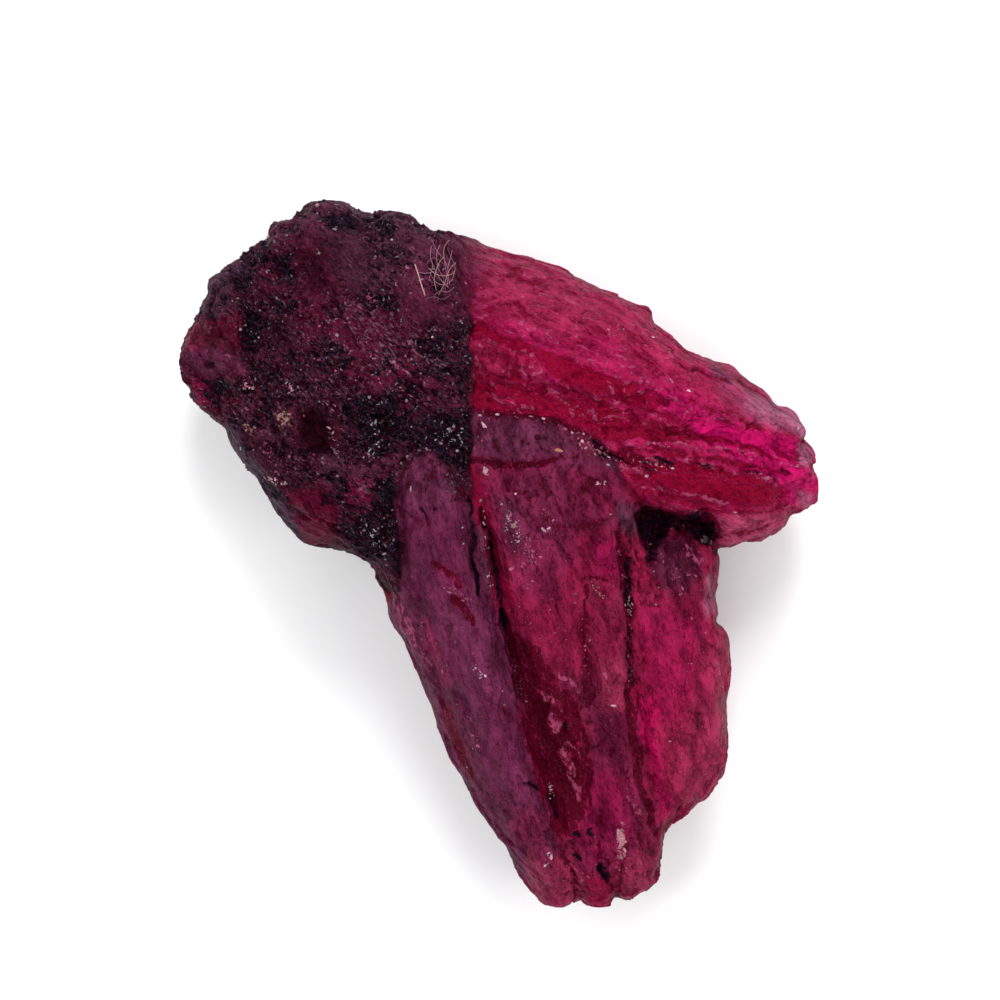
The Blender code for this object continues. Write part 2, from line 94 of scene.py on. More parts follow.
# Every paint: its name, how it looks on a screen, and what it is for.
PAINT_BOX = (
    ("night", 5, 1, 6, "Blackest mica and cracks"),
    ("ink", 21, 14, 34, "Mica with a cast of blue"),
    ("soot", 33, 15, 26, "Dull black"),
    ("bark", 48, 6, 24, "Brown-black stain"),
    ("maroon", 64, 13, 34, "Ground of the dark lump"),
    ("wine", 80, 18, 44, "Dark red of the lump's rim"),
    ("dusk", 84, 46, 68, "Greyed purple of worn faces"),
    ("slate", 62, 44, 64, "Grey-purple facets"),
    ("plum", 99, 33, 66, "Purple of the left finger"),
    # Mauve is partly painted sheen: the paler purple where the finger's dome catches the light.
    ("mauve", 112, 52, 82, "Pale purple of the finger's dome"),
    ("lavender", 136, 66, 98, "Pale purple edges"),
    ("garnet", 84, 2, 24, "Deep red of grooves and cracks"),
    ("blood", 122, 3, 30, "Clear deep red of the wing's belly"),
    ("berry", 114, 22, 56, "Dull red of the centre block"),
    ("crimson", 138, 20, 60, "Ground of the bladed crystals"),
    ("ruby", 156, 18, 70, "Clear red of the wing and the slab"),
    ("magenta", 164, 8, 80, "Pink-red glow"),
    # Rose is partly painted sheen: the paler pink where the wing's top faces the light.
    ("rose", 152, 42, 76, "Dusty pink of the wing's top"),
    ("blush", 174, 84, 116, "Pale pink edges and grains"),
    ("pearl", 214, 166, 180, "Near-white pink grains"),
    ("bone", 194, 134, 145, "The long pale grain"),
    ("sand", 172, 134, 124, "Beige grains and fibres"),
    ("chip", 170, 158, 168, "Grey-white chips"),
    ("straw", 182, 126, 104, "The tan grain"),
    ("flake", 200, 92, 132, "Pink flakes"),
    ("grit", 152, 96, 118, "Dusty pink flakes"),
    # Painted glow: a brighter red laid in the grooves and under their deep red marks, which lie in shade.
    ("ember", 140, 8, 54, "Under the deep red marks"),
    # Painted glow along the slab's edge, against the shade of the groove beside it.
    ("lamplit", 190, 8, 80, "Glow along the slab's edge"),
    # Partly painted glow: the hot pink where light passes through the wing's thin tip, over its own pink.
    ("hot", 198, 10, 98, "Hottest pink of the wing"),
    ("smoke", 104, 78, 94, "Grey crumbs and fibres"),
    ("mist", 176, 104, 136, "Frosted knobs of the wing's tip"),
    ("claret", 86, 6, 36, "Dark clear red"),
    ("clot", 40, 2, 16, "Darkest red"),
    ("rust", 128, 32, 62, "Brown-red stain"),
    # Scarlet is laid in the wing's hollows as painted shade.
    ("scarlet", 150, 2, 44, "Clear red of the wing's hollows"),
)
PAINTS = {name: paint_of(red, green, blue) for name, red, green, blue, _ in PAINT_BOX}
PAINT_USES = {name: use for name, _, _, _, use in PAINT_BOX}

# Marks of these paints lie over the plain paint in layers of their own, which break up along the grain.
LAYERS = {
    # The deep layer is partly painted shade, in grooves, hollows and below steps, and the pale layer partly painted
    # highlight along ridges.
    "deep": ("garnet", "blood"),
    "dark": ("night", "ink", "soot"),
    "pale": ("blush", "pearl", "rose", "lavender", "mauve", "sand", "chip"),
}

# Under a mark of a layer, the plain paint turns this way, so that no bright paint shows through its gaps.
UNDERCOATS = {
    # On the crystals the deep layer's undercoat is a painted glow, a red brighter than its marks, seen in their gaps.
    "body": {"deep": ("ember", 0.85), "dark": ("bark", 0.8), "pale": ("ruby", 0.0)},
    "lump": {"deep": ("claret", 0.5), "dark": ("clot", 0.5), "pale": ("maroon", 0.0)},
}

def rows(kind, *table):
    """The rows of a table, each as one of that kind."""
    return tuple(kind(*row) for row in table)


# A patch is a closed outline with a soft edge, and a stroke a line with a half width. share is how much of
# the paint covers what is under it, and lift how far the skin stands up there, in mm.
Patch = namedtuple("Patch", "paint share edge lift outline")
Stroke = namedtuple("Stroke", "paint share width lift line")
# An area where the skin differs from the rest: how much, and its outline.
Area = namedtuple("Area", "share edge outline")

WING_OUTLINE = (
    (462, 220), (560, 250), (700, 335), (840, 430), (840, 520), (770, 560), (718, 552), (706, 524),
    (640, 504), (616, 470), (600, 445), (560, 423), (520, 417), (462, 412))

BODY_PATCHES = rows(
    Patch,
    ("plum", 1.0, 5, 0, (
        (380, 570), (392, 480), (428, 446), (466, 458), (474, 500), (484, 560), (500, 620), (516, 680),
        (528, 740), (545, 800), (562, 850), (580, 925), (520, 925), (440, 790), (388, 640))),
    # Painted sheen: the paler mauve over the left finger's dome.
    ("mauve", 0.5, 8, 0, ((402, 462), (440, 450), (464, 472), (452, 506), (408, 508))),
    ("mauve", 0.25, 10, 0, ((430, 600), (480, 600), (512, 700), (470, 700))),
    ("berry", 1.0, 5, 0, (
        (466, 408), (560, 420), (604, 446), (630, 476), (618, 530), (622, 600), (624, 690), (610, 760),
        (580, 740), (558, 690), (520, 660), (504, 610), (490, 560), (478, 500), (466, 460))),
    ("plum", 0.75, 8, 0, (
        (466, 410), (560, 422), (600, 446), (612, 470), (570, 470), (520, 468), (466, 460))),
    ("crimson", 0.7, 9, 0, (
        (497, 548), (540, 540), (610, 530), (618, 600), (620, 650), (570, 680), (530, 650), (508, 620))),
    ("dusk", 0.45, 12, 0, ((474, 418), (540, 424), (590, 440), (560, 452), (500, 458), (472, 456))),
    ("dusk", 0.55, 5, 0, ((499, 498), (516, 498), (524, 530), (530, 556), (512, 548), (502, 528))),
    ("slate", 0.6, 4, 0, ((617, 500), (634, 502), (640, 524), (630, 540), (618, 530))),
    ("magenta", 0.45, 6, 0, ((588, 536), (614, 540), (616, 574), (592, 576))),
    ("rust", 0.6, 4, 0, ((584, 580), (596, 578), (597, 600), (585, 600))),
    ("rose", 0.5, 6, 0, ((505, 552), (520, 552), (522, 582), (508, 584))),
    ("plum", 0.45, 10, 0, ((500, 480), (560, 470), (575, 540), (550, 600), (520, 590), (500, 540))),
    ("crimson", 1.0, 5, 0, (
        (632, 540), (722, 540), (724, 600), (740, 690), (732, 790), (690, 840), (656, 850), (648, 790),
        (634, 710), (628, 620))),
    ("ruby", 0.55, 8, 0, ((636, 596), (724, 596), (738, 690), (728, 788), (672, 836), (642, 740))),
    # Painted glow: the slab's edge beside the groove is painted a bright red against the groove's shade.
    ("lamplit", 0.9, 9, 0, ((632, 690), (654, 696), (662, 780), (672, 826), (652, 845), (638, 780))),
    ("berry", 0.35, 10, 0, ((636, 588), (696, 588), (696, 622), (640, 622))),
    ("rose", 0.4, 10, 0, ((656, 720), (716, 716), (714, 792), (662, 792))),
    ("rose", 0.6, 10, 0, ((700, 640), (735, 640), (738, 770), (712, 800), (704, 720))),
    ("berry", 0.9, 6, 0, (
        (575, 690), (632, 690), (652, 780), (668, 850), (660, 905), (600, 925), (556, 900), (556, 830),
        (570, 770))),
    ("crimson", 0.35, 8, 0, ((512, 806), (546, 812), (546, 848), (518, 846))),
    ("berry", 0.4, 8, 0, ((590, 598), (620, 598), (620, 652), (592, 652))),
    ("magenta", 0.35, 12, 0, ((580, 770), (625, 780), (640, 850), (600, 870), (570, 830))),
    ("garnet", 0.9, 6, 0, (
        (512, 636), (534, 646), (560, 684), (578, 706), (586, 760), (580, 836), (560, 838), (540, 790),
        (524, 730))),
    ("claret", 0.65, 5, 0, (
        (514, 640), (532, 650), (556, 688), (570, 712), (578, 780), (572, 830), (560, 830), (544, 786),
        (526, 726))),
    ("ruby", 1.0, 3, 0, WING_OUTLINE),
    # Painted sheen: the wing's upper flank faces the light and is painted a paler rose.
    ("rose", 0.5, 14, 0, (
        (455, 225), (560, 255), (600, 285), (604, 330), (560, 338), (500, 318), (455, 304))),
    ("rose", 0.3, 14, 0, (
        (570, 262), (660, 305), (740, 362), (810, 410), (740, 420), (640, 360), (590, 320))),
    ("plum", 0.6, 16, 0, ((446, 208), (486, 232), (494, 272), (482, 312), (446, 312))),
    ("lavender", 0.45, 12, 0, ((715, 362), (760, 385), (806, 412), (800, 432), (750, 420), (718, 395))),
    ("mist", 0.55, 6, 0, ((748, 396), (784, 402), (806, 418), (806, 434), (776, 430), (746, 412))),
    ("crimson", 0.8, 5, 0.0, ((470, 336), (506, 350), (536, 360), (544, 380), (520, 388), (470, 384))),
    # Painted shadow: deep red bands just below the wing's steps, where each step shades the face under it.
    ("blood", 0.95, 4, -0.12, (
        (470, 322), (500, 338), (540, 354), (580, 366), (620, 382), (670, 402), (650, 412), (600, 396),
        (560, 384), (540, 366), (505, 350), (470, 338))),
    ("garnet", 0.75, 5, -0.12, (
        (470, 384), (520, 388), (548, 392), (600, 404), (650, 420), (700, 434), (690, 444), (640, 440),
        (604, 442), (560, 422), (520, 415), (470, 410))),
    # Partly painted glow: hot pink where light passes through the wing's thin tip, over its own pink.
    ("hot", 0.9, 9, 0, (
        (690, 424), (730, 426), (790, 440), (808, 462), (826, 484), (808, 508), (780, 492), (740, 464),
        (700, 446))),
    ("crimson", 0.35, 6, 0, ((782, 476), (820, 476), (818, 500), (786, 500))),
    ("hot", 0.5, 10, 0, ((640, 384), (690, 396), (720, 420), (690, 428), (644, 404))),
    ("mist", 0.8, 3, 0.10, ((796, 424), (806, 426), (806, 438), (797, 439))),
    ("mist", 0.8, 3, 0.12, ((799, 444), (811, 444), (816, 458), (808, 468), (799, 460))),
    ("mist", 0.6, 4, 0, ((800, 494), (816, 494), (810, 508), (800, 506))),
    ("garnet", 0.55, 12, 0, ((620, 466), (690, 468), (760, 484), (752, 516), (700, 514), (636, 500))),
    ("blood", 0.85, 8, 0, ((640, 470), (760, 476), (790, 492), (760, 505), (680, 500))),
    ("claret", 0.4, 10, 0, ((650, 476), (756, 482), (752, 508), (664, 508))),
    ("blush", 0.42, 8, 0, ((714, 518), (790, 514), (772, 546), (722, 550))),
    ("wine", 0.85, 7, 0, ((650, 544), (690, 538), (700, 566), (690, 594), (662, 592), (648, 572))),
    ("mist", 0.55, 4, 0, ((703, 574), (716, 576), (718, 612), (706, 618))),
    ("rose", 0.85, 7, 0, ((598, 660), (622, 660), (624, 706), (602, 706))),
    ("rose", 0.8, 7, 0, ((624, 846), (660, 846), (660, 900), (628, 902))),
    ("rose", 0.6, 8, 0, ((528, 850), (576, 856), (586, 920), (520, 920))),
    # Painted glow: the brighter red by the crack in the lower tips.
    ("ember", 0.7, 7, 0, ((584, 874), (622, 880), (620, 915), (588, 915))),
    ("rose", 0.5, 10, 0, ((690, 700), (736, 700), (728, 800), (676, 820), (680, 760))),
    ("bark", 0.6, 6, 0, ((648, 540), (694, 536), (696, 580), (660, 588))),
    # Painted shade: black in the pocket under the wing's overhang.
    ("night", 0.97, 4, -0.45, (
        (634, 514), (646, 508), (662, 512), (672, 520), (667, 534), (659, 541), (657, 556), (649, 563),
        (645, 549), (638, 532))),
    ("night", 0.8, 4, -0.32, ((662, 514), (692, 514), (693, 526), (680, 531), (666, 528))),
    ("night", 0.97, 4, -0.45, (
        (687, 514), (704, 510), (717, 520), (721, 538), (709, 545), (697, 541), (689, 530))),
)

# The lump's seam against the crystals is sharp low down and soft high up: its soft edge in steps, how much
# more of it there is high up, and from where to where down the sheet it changes.
SEAM_EDGE, SEAM_SOFTENING = 1.2, 24
SEAM_FROM, SEAM_TO = 326, 250

LUMP_OUTLINE = (
    (150, 150), (454, 150), (456, 250), (466, 300), (470, 320), (474, 330), (469, 342), (470, 354),
    (475, 362), (472, 376), (474, 388), (470, 402), (474, 414), (471, 428), (475, 440), (470, 464),
    (474, 498), (462, 482), (448, 466), (430, 450), (414, 460), (404, 480), (394, 500), (398, 524),
    (402, 548), (400, 590), (150, 600))

LUMP_PATCHES = rows(
    Patch,
    ("maroon", 1.0, 1, 0, ((0, 0), (1000, 0), (1000, 1000), (0, 1000))),
    # Facets of the upper rim, from the left round to the right.
    ("rust", 0.85, 5, 0, ((176, 330), (196, 312), (212, 330), (206, 350), (184, 356))),
    ("dusk", 0.75, 5, 0, ((192, 322), (206, 286), (222, 270), (234, 288), (240, 312), (214, 316))),
    ("slate", 0.75, 5, 0, ((206, 290), (222, 268), (262, 242), (268, 262), (252, 284), (228, 290))),
    ("wine", 0.7, 6, 0.05, ((262, 248), (268, 226), (300, 222), (318, 240), (296, 256), (274, 262))),
    ("dusk", 0.6, 6, 0, ((296, 226), (318, 200), (350, 200), (372, 216), (340, 236), (306, 238))),
    ("plum", 0.6, 6, 0.04, ((306, 230), (322, 224), (340, 234), (330, 252), (306, 250))),
    ("dusk", 0.6, 8, 0, ((372, 214), (420, 216), (470, 234), (470, 262), (430, 268), (384, 262))),
    ("plum", 0.5, 12, 0, ((400, 244), (472, 240), (474, 330), (430, 336), (404, 300))),
    # The broad top.
    ("claret", 0.15, 8, 0, ((300, 246), (322, 240), (346, 262), (346, 300), (312, 306), (300, 280))),
    ("dusk", 0.45, 10, 0, ((330, 236), (400, 240), (404, 290), (360, 300), (336, 280))),
    ("claret", 0.4, 8, 0, ((254, 262), (300, 266), (300, 300), (262, 304))),
    ("claret", 0.6, 10, 0, ((290, 306), (340, 300), (350, 336), (300, 344))),
    ("clot", 0.5, 10, 0, ((396, 326), (468, 320), (470, 364), (410, 366))),
    ("claret", 0.5, 12, 0, ((340, 320), (410, 330), (440, 400), (372, 396), (330, 360))),
    # The fan on the left.
    ("claret", 0.85, 5, -0.05, ((204, 326), (250, 306), (254, 362), (226, 356), (206, 342))),
    ("plum", 0.8, 5, 0.05, ((180, 350), (206, 346), (256, 364), (250, 378), (216, 374), (182, 376))),
    ("claret", 0.9, 6, 0, ((182, 372), (236, 374), (244, 400), (222, 414), (196, 404))),
    ("magenta", 0.45, 5, 0, ((186, 380), (206, 382), (212, 402), (196, 404))),
    ("clot", 0.8, 6, -0.08, ((258, 300), (276, 300), (276, 372), (262, 380), (250, 366))),
    # The lower half.
    ("clot", 0.45, 12, 0, ((262, 372), (340, 360), (360, 400), (330, 420), (262, 410))),
    ("wine", 0.5, 10, 0, ((226, 410), (300, 404), (330, 470), (270, 480), (240, 450))),
    ("clot", 0.8, 8, 0, ((256, 442), (320, 444), (322, 480), (280, 486))),
    ("slate", 0.85, 4, 0, (
        (226, 420), (240, 424), (252, 456), (276, 492), (300, 530), (312, 548), (280, 548), (230, 470))),
    ("clot", 0.95, 5, -0.05, ((302, 414), (322, 408), (342, 428), (342, 456), (318, 460), (302, 442))),
    ("dusk", 0.75, 5, 0.04, ((322, 458), (344, 458), (352, 478), (328, 484))),
    ("plum", 0.6, 8, 0, ((340, 460), (384, 462), (384, 486), (346, 484))),
    ("claret", 0.9, 6, 0, ((288, 494), (322, 482), (340, 494), (340, 520), (332, 548), (300, 544))),
    ("magenta", 0.12, 6, 0, ((296, 514), (330, 514), (330, 546), (304, 542))),
    ("magenta", 0.4, 5, 0, ((350, 480), (370, 480), (372, 496), (352, 498))),
    ("claret", 0.7, 6, 0, ((344, 492), (376, 494), (372, 512), (346, 510))),
    # Black mica, from the top down.
    ("ink", 1.0, 3, -0.10, ((324, 221), (352, 218), (360, 226), (350, 238), (334, 236))),
    ("ink", 1.0, 4, -0.08, ((376, 222), (392, 222), (398, 240), (386, 246))),
    ("night", 1.0, 3, -0.10, ((260, 240), (276, 240), (274, 254), (262, 254))),
    ("night", 1.0, 3, -0.10, ((256, 254), (280, 258), (278, 268), (258, 264))),
    ("ink", 1.0, 3, -0.12, ((275, 260), (298, 258), (296, 276), (282, 276))),
    ("night", 0.95, 4, -0.14, ((236, 280), (252, 280), (252, 298), (242, 292))),
    ("ink", 1.0, 4, -0.16, ((247, 304), (260, 312), (262, 352), (250, 360), (246, 344))),
    ("night", 0.75, 5, -0.06, ((272, 304), (302, 304), (304, 320), (278, 320))),
    ("night", 0.5, 6, -0.04, ((262, 322), (300, 324), (296, 342), (264, 344))),
    ("night", 0.6, 6, -0.05, ((382, 304), (402, 304), (400, 320), (384, 318))),
    ("night", 0.6, 5, -0.05, ((452, 326), (472, 322), (472, 348), (458, 346))),
    ("ink", 1.0, 3, -0.10, ((204, 380), (226, 378), (232, 392), (212, 398))),
    ("night", 0.6, 6, 0, ((228, 382), (256, 384), (254, 400), (230, 400))),
    ("night", 0.95, 7, -0.08, ((346, 400), (398, 396), (402, 452), (384, 462), (358, 452))),
    ("ink", 0.9, 6, 0, ((352, 420), (396, 424), (396, 450), (366, 450))),
    ("night", 0.9, 7, -0.08, ((404, 424), (472, 408), (472, 474), (456, 470), (432, 452), (406, 456))),
    ("night", 0.55, 8, 0, ((420, 360), (472, 358), (472, 384), (430, 384))),
    ("night", 0.95, 5, -0.10, (
        (374, 488), (394, 474), (402, 500), (404, 540), (402, 580), (384, 560), (372, 520))),
    ("ink", 0.8, 6, 0, ((344, 512), (392, 516), (392, 566), (352, 552))),
    ("night", 0.75, 4, -0.05, ((322, 492), (336, 492), (338, 504), (324, 506))),
    ("ink", 0.85, 4, 0, ((262, 482), (284, 488), (292, 504), (272, 496))),
    ("night", 0.9, 1.8, -0.06, ((243, 440), (246, 440), (247, 456), (243, 454))),
)

BODY_STROKES = rows(
    Stroke,
    # Groove between the left finger and the centre block, with its black cracks and grey lens, and a painted glow along
    # its floor.
    ("ember", 0.95, 7, -0.08, ((468, 462), (477, 490), (485, 520), (494, 550), (502, 580), (510, 612))),
    ("night", 0.9, 2.6, -0.28, ((472, 498), (473, 530), (473, 560), (480, 596))),
    ("night", 0.9, 2.4, -0.28, ((480, 508), (488, 530), (494, 560), (500, 600), (508, 640))),
    ("dusk", 0.9, 3.5, 0.10, ((480, 526), (483, 550), (489, 592))),
    ("night", 0.85, 3.0, -0.30, ((502, 604), (509, 640), (515, 662), (521, 704))),
    ("garnet", 0.9, 5, -0.20, ((508, 620), (520, 680), (534, 740), (552, 790), (566, 830))),
    ("mauve", 0.7, 2.2, 0.10, ((553, 668), (566, 678), (577, 691))),
    ("mauve", 0.7, 4, 0.10, ((535, 690), (548, 696), (560, 702))),
    ("mauve", 0.85, 7, 0.22, ((552, 712), (558, 728))),
    ("night", 0.8, 1.5, -0.15, ((564, 720), (566, 728))),
    ("mauve", 0.6, 1.8, 0.10, ((560, 738), (574, 744), (584, 758))),
    ("mauve", 0.7, 5, 0.18, ((563, 745), (572, 770), (578, 798))),
    ("garnet", 0.9, 2.5, -0.18, ((572, 700), (584, 730), (590, 770), (588, 810))),
    # Groove between the spear and the slab.
    ("garnet", 0.95, 4, -0.22, (
        (616, 530), (624, 575), (627, 600), (628, 640), (631, 720), (643, 790), (656, 836))),
    ("night", 0.9, 4, -0.25, ((624, 552), (628, 580), (629, 614))),
    ("night", 0.7, 2.2, -0.15, ((627, 620), (630, 690))),
    # Boundary of the wing and the centre block.
    ("garnet", 0.5, 1.8, -0.10, ((474, 412), (500, 415), (540, 420), (566, 426), (590, 438), (600, 446))),
    ("night", 0.9, 5.5, -0.12, ((592, 446), (608, 455), (630, 460), (660, 466))),
    ("slate", 0.7, 5.0, 0.06, ((606, 464), (616, 470))),
    ("rust", 0.6, 7.0, 0.05, ((574, 440), (592, 450))),
    ("garnet", 0.9, 4.5, -0.16, ((606, 452), (640, 462), (680, 466), (720, 474))),
    ("garnet", 0.95, 3.0, -0.24, ((468, 462), (495, 464), (520, 467), (542, 464), (562, 458))),
    ("garnet", 0.8, 1.8, -0.12, ((583, 575), (584, 620), (584, 660), (592, 686))),
    ("garnet", 0.8, 1.8, -0.12, ((584, 573), (594, 576), (605, 580))),
    ("garnet", 0.6, 1.4, -0.10, ((576, 470), (590, 478), (598, 492), (610, 500))),
    ("garnet", 0.6, 1.4, -0.08, ((540, 480), (548, 492), (556, 508), (566, 516))),
    ("garnet", 0.6, 1.6, -0.10, ((552, 524), (572, 528), (590, 522), (600, 516))),
    ("garnet", 0.5, 1.6, -0.06, ((504, 480), (514, 492), (530, 500))),
    # Ledges of the wing: the pale strokes along their raised edges are painted highlights, and the deep red strokes in
    # the grooves below them painted shade.
    ("garnet", 0.55, 1.6, -0.08, ((503, 264), (510, 269), (517, 274))),
    ("blush", 0.5, 1.8, 0.05, ((455, 243), (466, 246), (472, 251), (478, 258))),
    ("crimson", 0.6, 1.8, -0.05, ((478, 290), (498, 293), (520, 296))),
    ("crimson", 0.6, 2.4, -0.06, ((470, 302), (500, 303), (516, 308), (530, 318))),
    ("magenta", 0.5, 4, -0.04, ((490, 326), (520, 338), (545, 348), (570, 352))),
    ("blush", 0.5, 1.6, 0.05, ((613, 318), (628, 325), (640, 332), (665, 337), (682, 346))),
    ("rose", 0.7, 1.8, 0.08, ((480, 338), (492, 346), (506, 352), (522, 356), (534, 362), (540, 376))),
    ("garnet", 0.8, 2.0, -0.12, ((472, 378), (500, 380), (520, 384), (546, 394), (566, 398))),
    ("blush", 0.5, 1.4, 0.08, ((479, 344), (481, 376))),
    ("blush", 0.5, 1.2, 0.08, ((488, 348), (490, 378))),
    ("blush", 0.5, 1.4, 0.08, ((498, 352), (499, 380))),
    ("blush", 0.5, 1.2, 0.08, ((509, 356), (510, 382))),
    ("blush", 0.5, 1.2, 0.08, ((521, 360), (523, 384))),
    ("garnet", 0.6, 1.2, -0.08, ((504, 346), (508, 362), (506, 380))),
    ("garnet", 0.6, 1.2, -0.08, ((513, 352), (516, 366), (515, 384))),
    ("blood", 0.6, 1.2, -0.06, ((526, 358), (529, 372), (527, 384))),
    ("blush", 0.55, 5, 0.06, ((530, 366), (534, 376))),
    ("rose", 0.8, 1.8, 0.08, ((476, 395), (490, 396), (505, 402), (520, 408), (534, 412))),
    ("blush", 0.5, 3, 0.06, ((505, 400), (518, 406))),
    ("rose", 0.7, 2.6, 0.08, ((548, 392), (556, 396), (562, 404))),
    ("rose", 0.7, 2.4, 0.10, ((605, 382), (609, 390), (610, 402))),
    ("crimson", 0.8, 5, 0.08, ((556, 378), (580, 386), (600, 396))),
    ("rose", 0.7, 2.6, 0.10, ((585, 410), (590, 416), (596, 424))),
    ("rose", 0.7, 2.2, 0.08, ((615, 404), (622, 408))),
    ("rose", 0.6, 1.6, 0.08, ((600, 420), (616, 416), (630, 422))),
    ("rose", 0.65, 2.4, 0.10, ((630, 380), (648, 386), (660, 394), (676, 402))),
    ("blush", 0.55, 1.4, 0.06, ((662, 376), (670, 384))),
    ("blush", 0.6, 1.4, 0.06, ((680, 391), (692, 393))),
    ("garnet", 0.8, 2.4, -0.14, ((600, 400), (630, 402), (652, 412), (680, 424))),
    ("garnet", 0.7, 1.6, -0.10, ((700, 406), (724, 412), (744, 424), (764, 430))),
    ("blush", 0.45, 2.0, 0.08, ((700, 412), (716, 416), (730, 424), (742, 430))),
    ("blood", 0.9, 2.6, -0.12, ((650, 428), (680, 436), (720, 442), (760, 452), (784, 462))),
    ("blush", 0.6, 1.6, 0.08, ((640, 444), (660, 445), (680, 445), (700, 449), (730, 450), (760, 457))),
    ("garnet", 0.8, 2.0, -0.12, ((640, 452), (680, 456), (720, 460), (760, 468), (790, 476))),
    ("night", 0.85, 2.4, -0.14, ((655, 458), (664, 460), (672, 463))),
    ("night", 0.8, 2.2, -0.12, ((697, 464), (710, 468))),
    ("night", 0.8, 2.4, -0.14, ((743, 470), (760, 475))),
    ("night", 0.6, 1.6, -0.08, ((765, 474), (776, 482))),
    ("night", 0.6, 1.6, -0.08, ((780, 470), (788, 475))),
    ("slate", 0.75, 3.2, -0.05, ((710, 368), (720, 374), (731, 382))),
    ("rose", 0.7, 2.6, 0.06, ((640, 486), (670, 490), (700, 497), (730, 505))),
    ("garnet", 0.6, 2.0, -0.08, ((690, 504), (720, 512), (752, 512), (780, 508))),
    # Left finger.
    ("night", 0.8, 1.1, -0.12, ((422, 504), (425, 512), (428, 520))),
    ("night", 0.8, 1.2, -0.12, ((432, 503), (436, 508), (438, 514))),
    ("garnet", 0.7, 1.2, -0.10, ((426, 520), (430, 526), (432, 531))),
    ("garnet", 0.9, 3.4, -0.12, ((434, 562), (446, 570), (457, 577), (461, 588))),
    ("garnet", 0.9, 4.2, -0.14, ((450, 594), (460, 601), (467, 610), (474, 621))),
    ("bark", 0.65, 5, -0.05, ((408, 482), (402, 506), (404, 532), (408, 562))),
    ("bark", 0.6, 6, -0.05, ((448, 474), (458, 486), (466, 500))),
    ("lavender", 0.5, 2, 0.05, ((452, 584), (464, 592), (474, 606))),
    ("bark", 0.6, 3.5, -0.06, ((425, 600), (429, 610), (432, 622))),
    ("lavender", 0.5, 3.2, 0.06, ((412, 636), (424, 656), (438, 682))),
    ("magenta", 0.35, 6, 0, ((424, 620), (436, 650), (450, 682))),
    ("lavender", 0.3, 3, 0.10, ((455, 690), (472, 726), (490, 766))),
    ("garnet", 0.75, 6, -0.08, ((444, 702), (456, 740), (472, 780))),
    ("garnet", 0.5, 2.2, -0.06, ((500, 704), (506, 712), (512, 720))),
    ("mauve", 0.55, 8, 0.04, ((394, 596), (404, 620), (416, 650))),
    # Pocket, slab and tips.
    ("dusk", 0.8, 5, 0.0, ((618, 506), (626, 520), (634, 536))),
    ("chip", 0.7, 2.6, 0.05, ((705, 536), (714, 543))),
    ("plum", 0.8, 9, 0, ((662, 556), (676, 576))),
    ("rose", 0.7, 4, 0.04, ((684, 546), (692, 556), (698, 562))),
    ("berry", 0.7, 4, -0.03, ((698, 580), (700, 640), (698, 700), (692, 760))),
    ("lavender", 0.7, 3, 0.03, ((706, 578), (711, 596), (714, 614))),
    ("lavender", 0.45, 3, 0.04, ((716, 640), (724, 690), (722, 760))),
    ("bark", 0.5, 12, -0.02, ((600, 712), (612, 740), (622, 770))),
    ("rose", 0.5, 6, 0.04, ((604, 668), (610, 690))),
    ("mauve", 0.5, 6, 0.04, ((628, 790), (640, 820))),
    ("night", 0.85, 2.6, -0.12, ((524, 780), (532, 784), (540, 788))),
    ("night", 0.85, 4, -0.14, ((549, 794), (554, 806), (558, 818))),
    ("night", 0.8, 2.4, -0.12, ((574, 830), (582, 837))),
    ("night", 0.8, 2.4, -0.12, ((588, 830), (595, 836))),
    ("night", 0.8, 2.4, -0.12, ((576, 853), (582, 859))),
    ("night", 0.95, 3.6, -0.22, ((600, 864), (604, 874), (607, 883))),
    ("mauve", 0.6, 2.6, 0.04, ((575, 866), (584, 884))),
    ("bark", 0.6, 3, -0.04, ((586, 890), (592, 897))),
    ("bark", 0.6, 4, -0.06, ((650, 846), (656, 857))),
    ("bark", 0.5, 4, -0.04, ((629, 840), (638, 850))),
    ("garnet", 0.6, 2.5, -0.10, ((560, 846), (570, 868), (578, 902))),
    ("garnet", 0.6, 2.5, -0.10, ((622, 856), (622, 880), (616, 904))),
    ("rose", 0.5, 5, 0.04, ((640, 858), (644, 880))),
)

LUMP_STROKES = rows(
    Stroke,
    ("garnet", 0.6, 3, -0.06, ((214, 334), (230, 344), (244, 356))),
    ("rose", 0.4, 3, 0.05, ((205, 351), (222, 356), (240, 365))),
    ("lavender", 0.5, 1.5, 0.05, ((287, 304), (290, 320))),
    ("lavender", 0.5, 1.4, 0.05, ((253, 300), (256, 306))),
    ("chip", 0.5, 1.4, 0.05, ((262, 358), (264, 368), (267, 378))),
    ("mauve", 0.6, 2, 0.06, ((332, 422), (337, 414), (342, 405))),
    ("mauve", 0.5, 2.5, 0.05, ((332, 430), (336, 442), (338, 455))),
    ("mauve", 0.5, 1.4, 0.05, ((343, 482), (347, 490), (350, 497))),
    ("slate", 0.6, 6, 0, ((242, 440), (260, 480), (296, 526))),
    ("dusk", 0.5, 5, 0, ((282, 500), (300, 518))),
    ("rose", 0.6, 4, 0, ((188, 338), (194, 332))),
    ("blush", 0.8, 3, 0.06, ((268, 236), (274, 239))),
    ("rose", 0.5, 6, 0.02, ((352, 484), (368, 492))),
    ("sand", 0.45, 4, 0.04, ((466, 344), (471, 352))),
)


# Where the outline bulges or draws in: the place, how far round it that reaches, and how far it goes,
# all in steps.
Bulge = namedtuple("Bulge", "across down reach push")

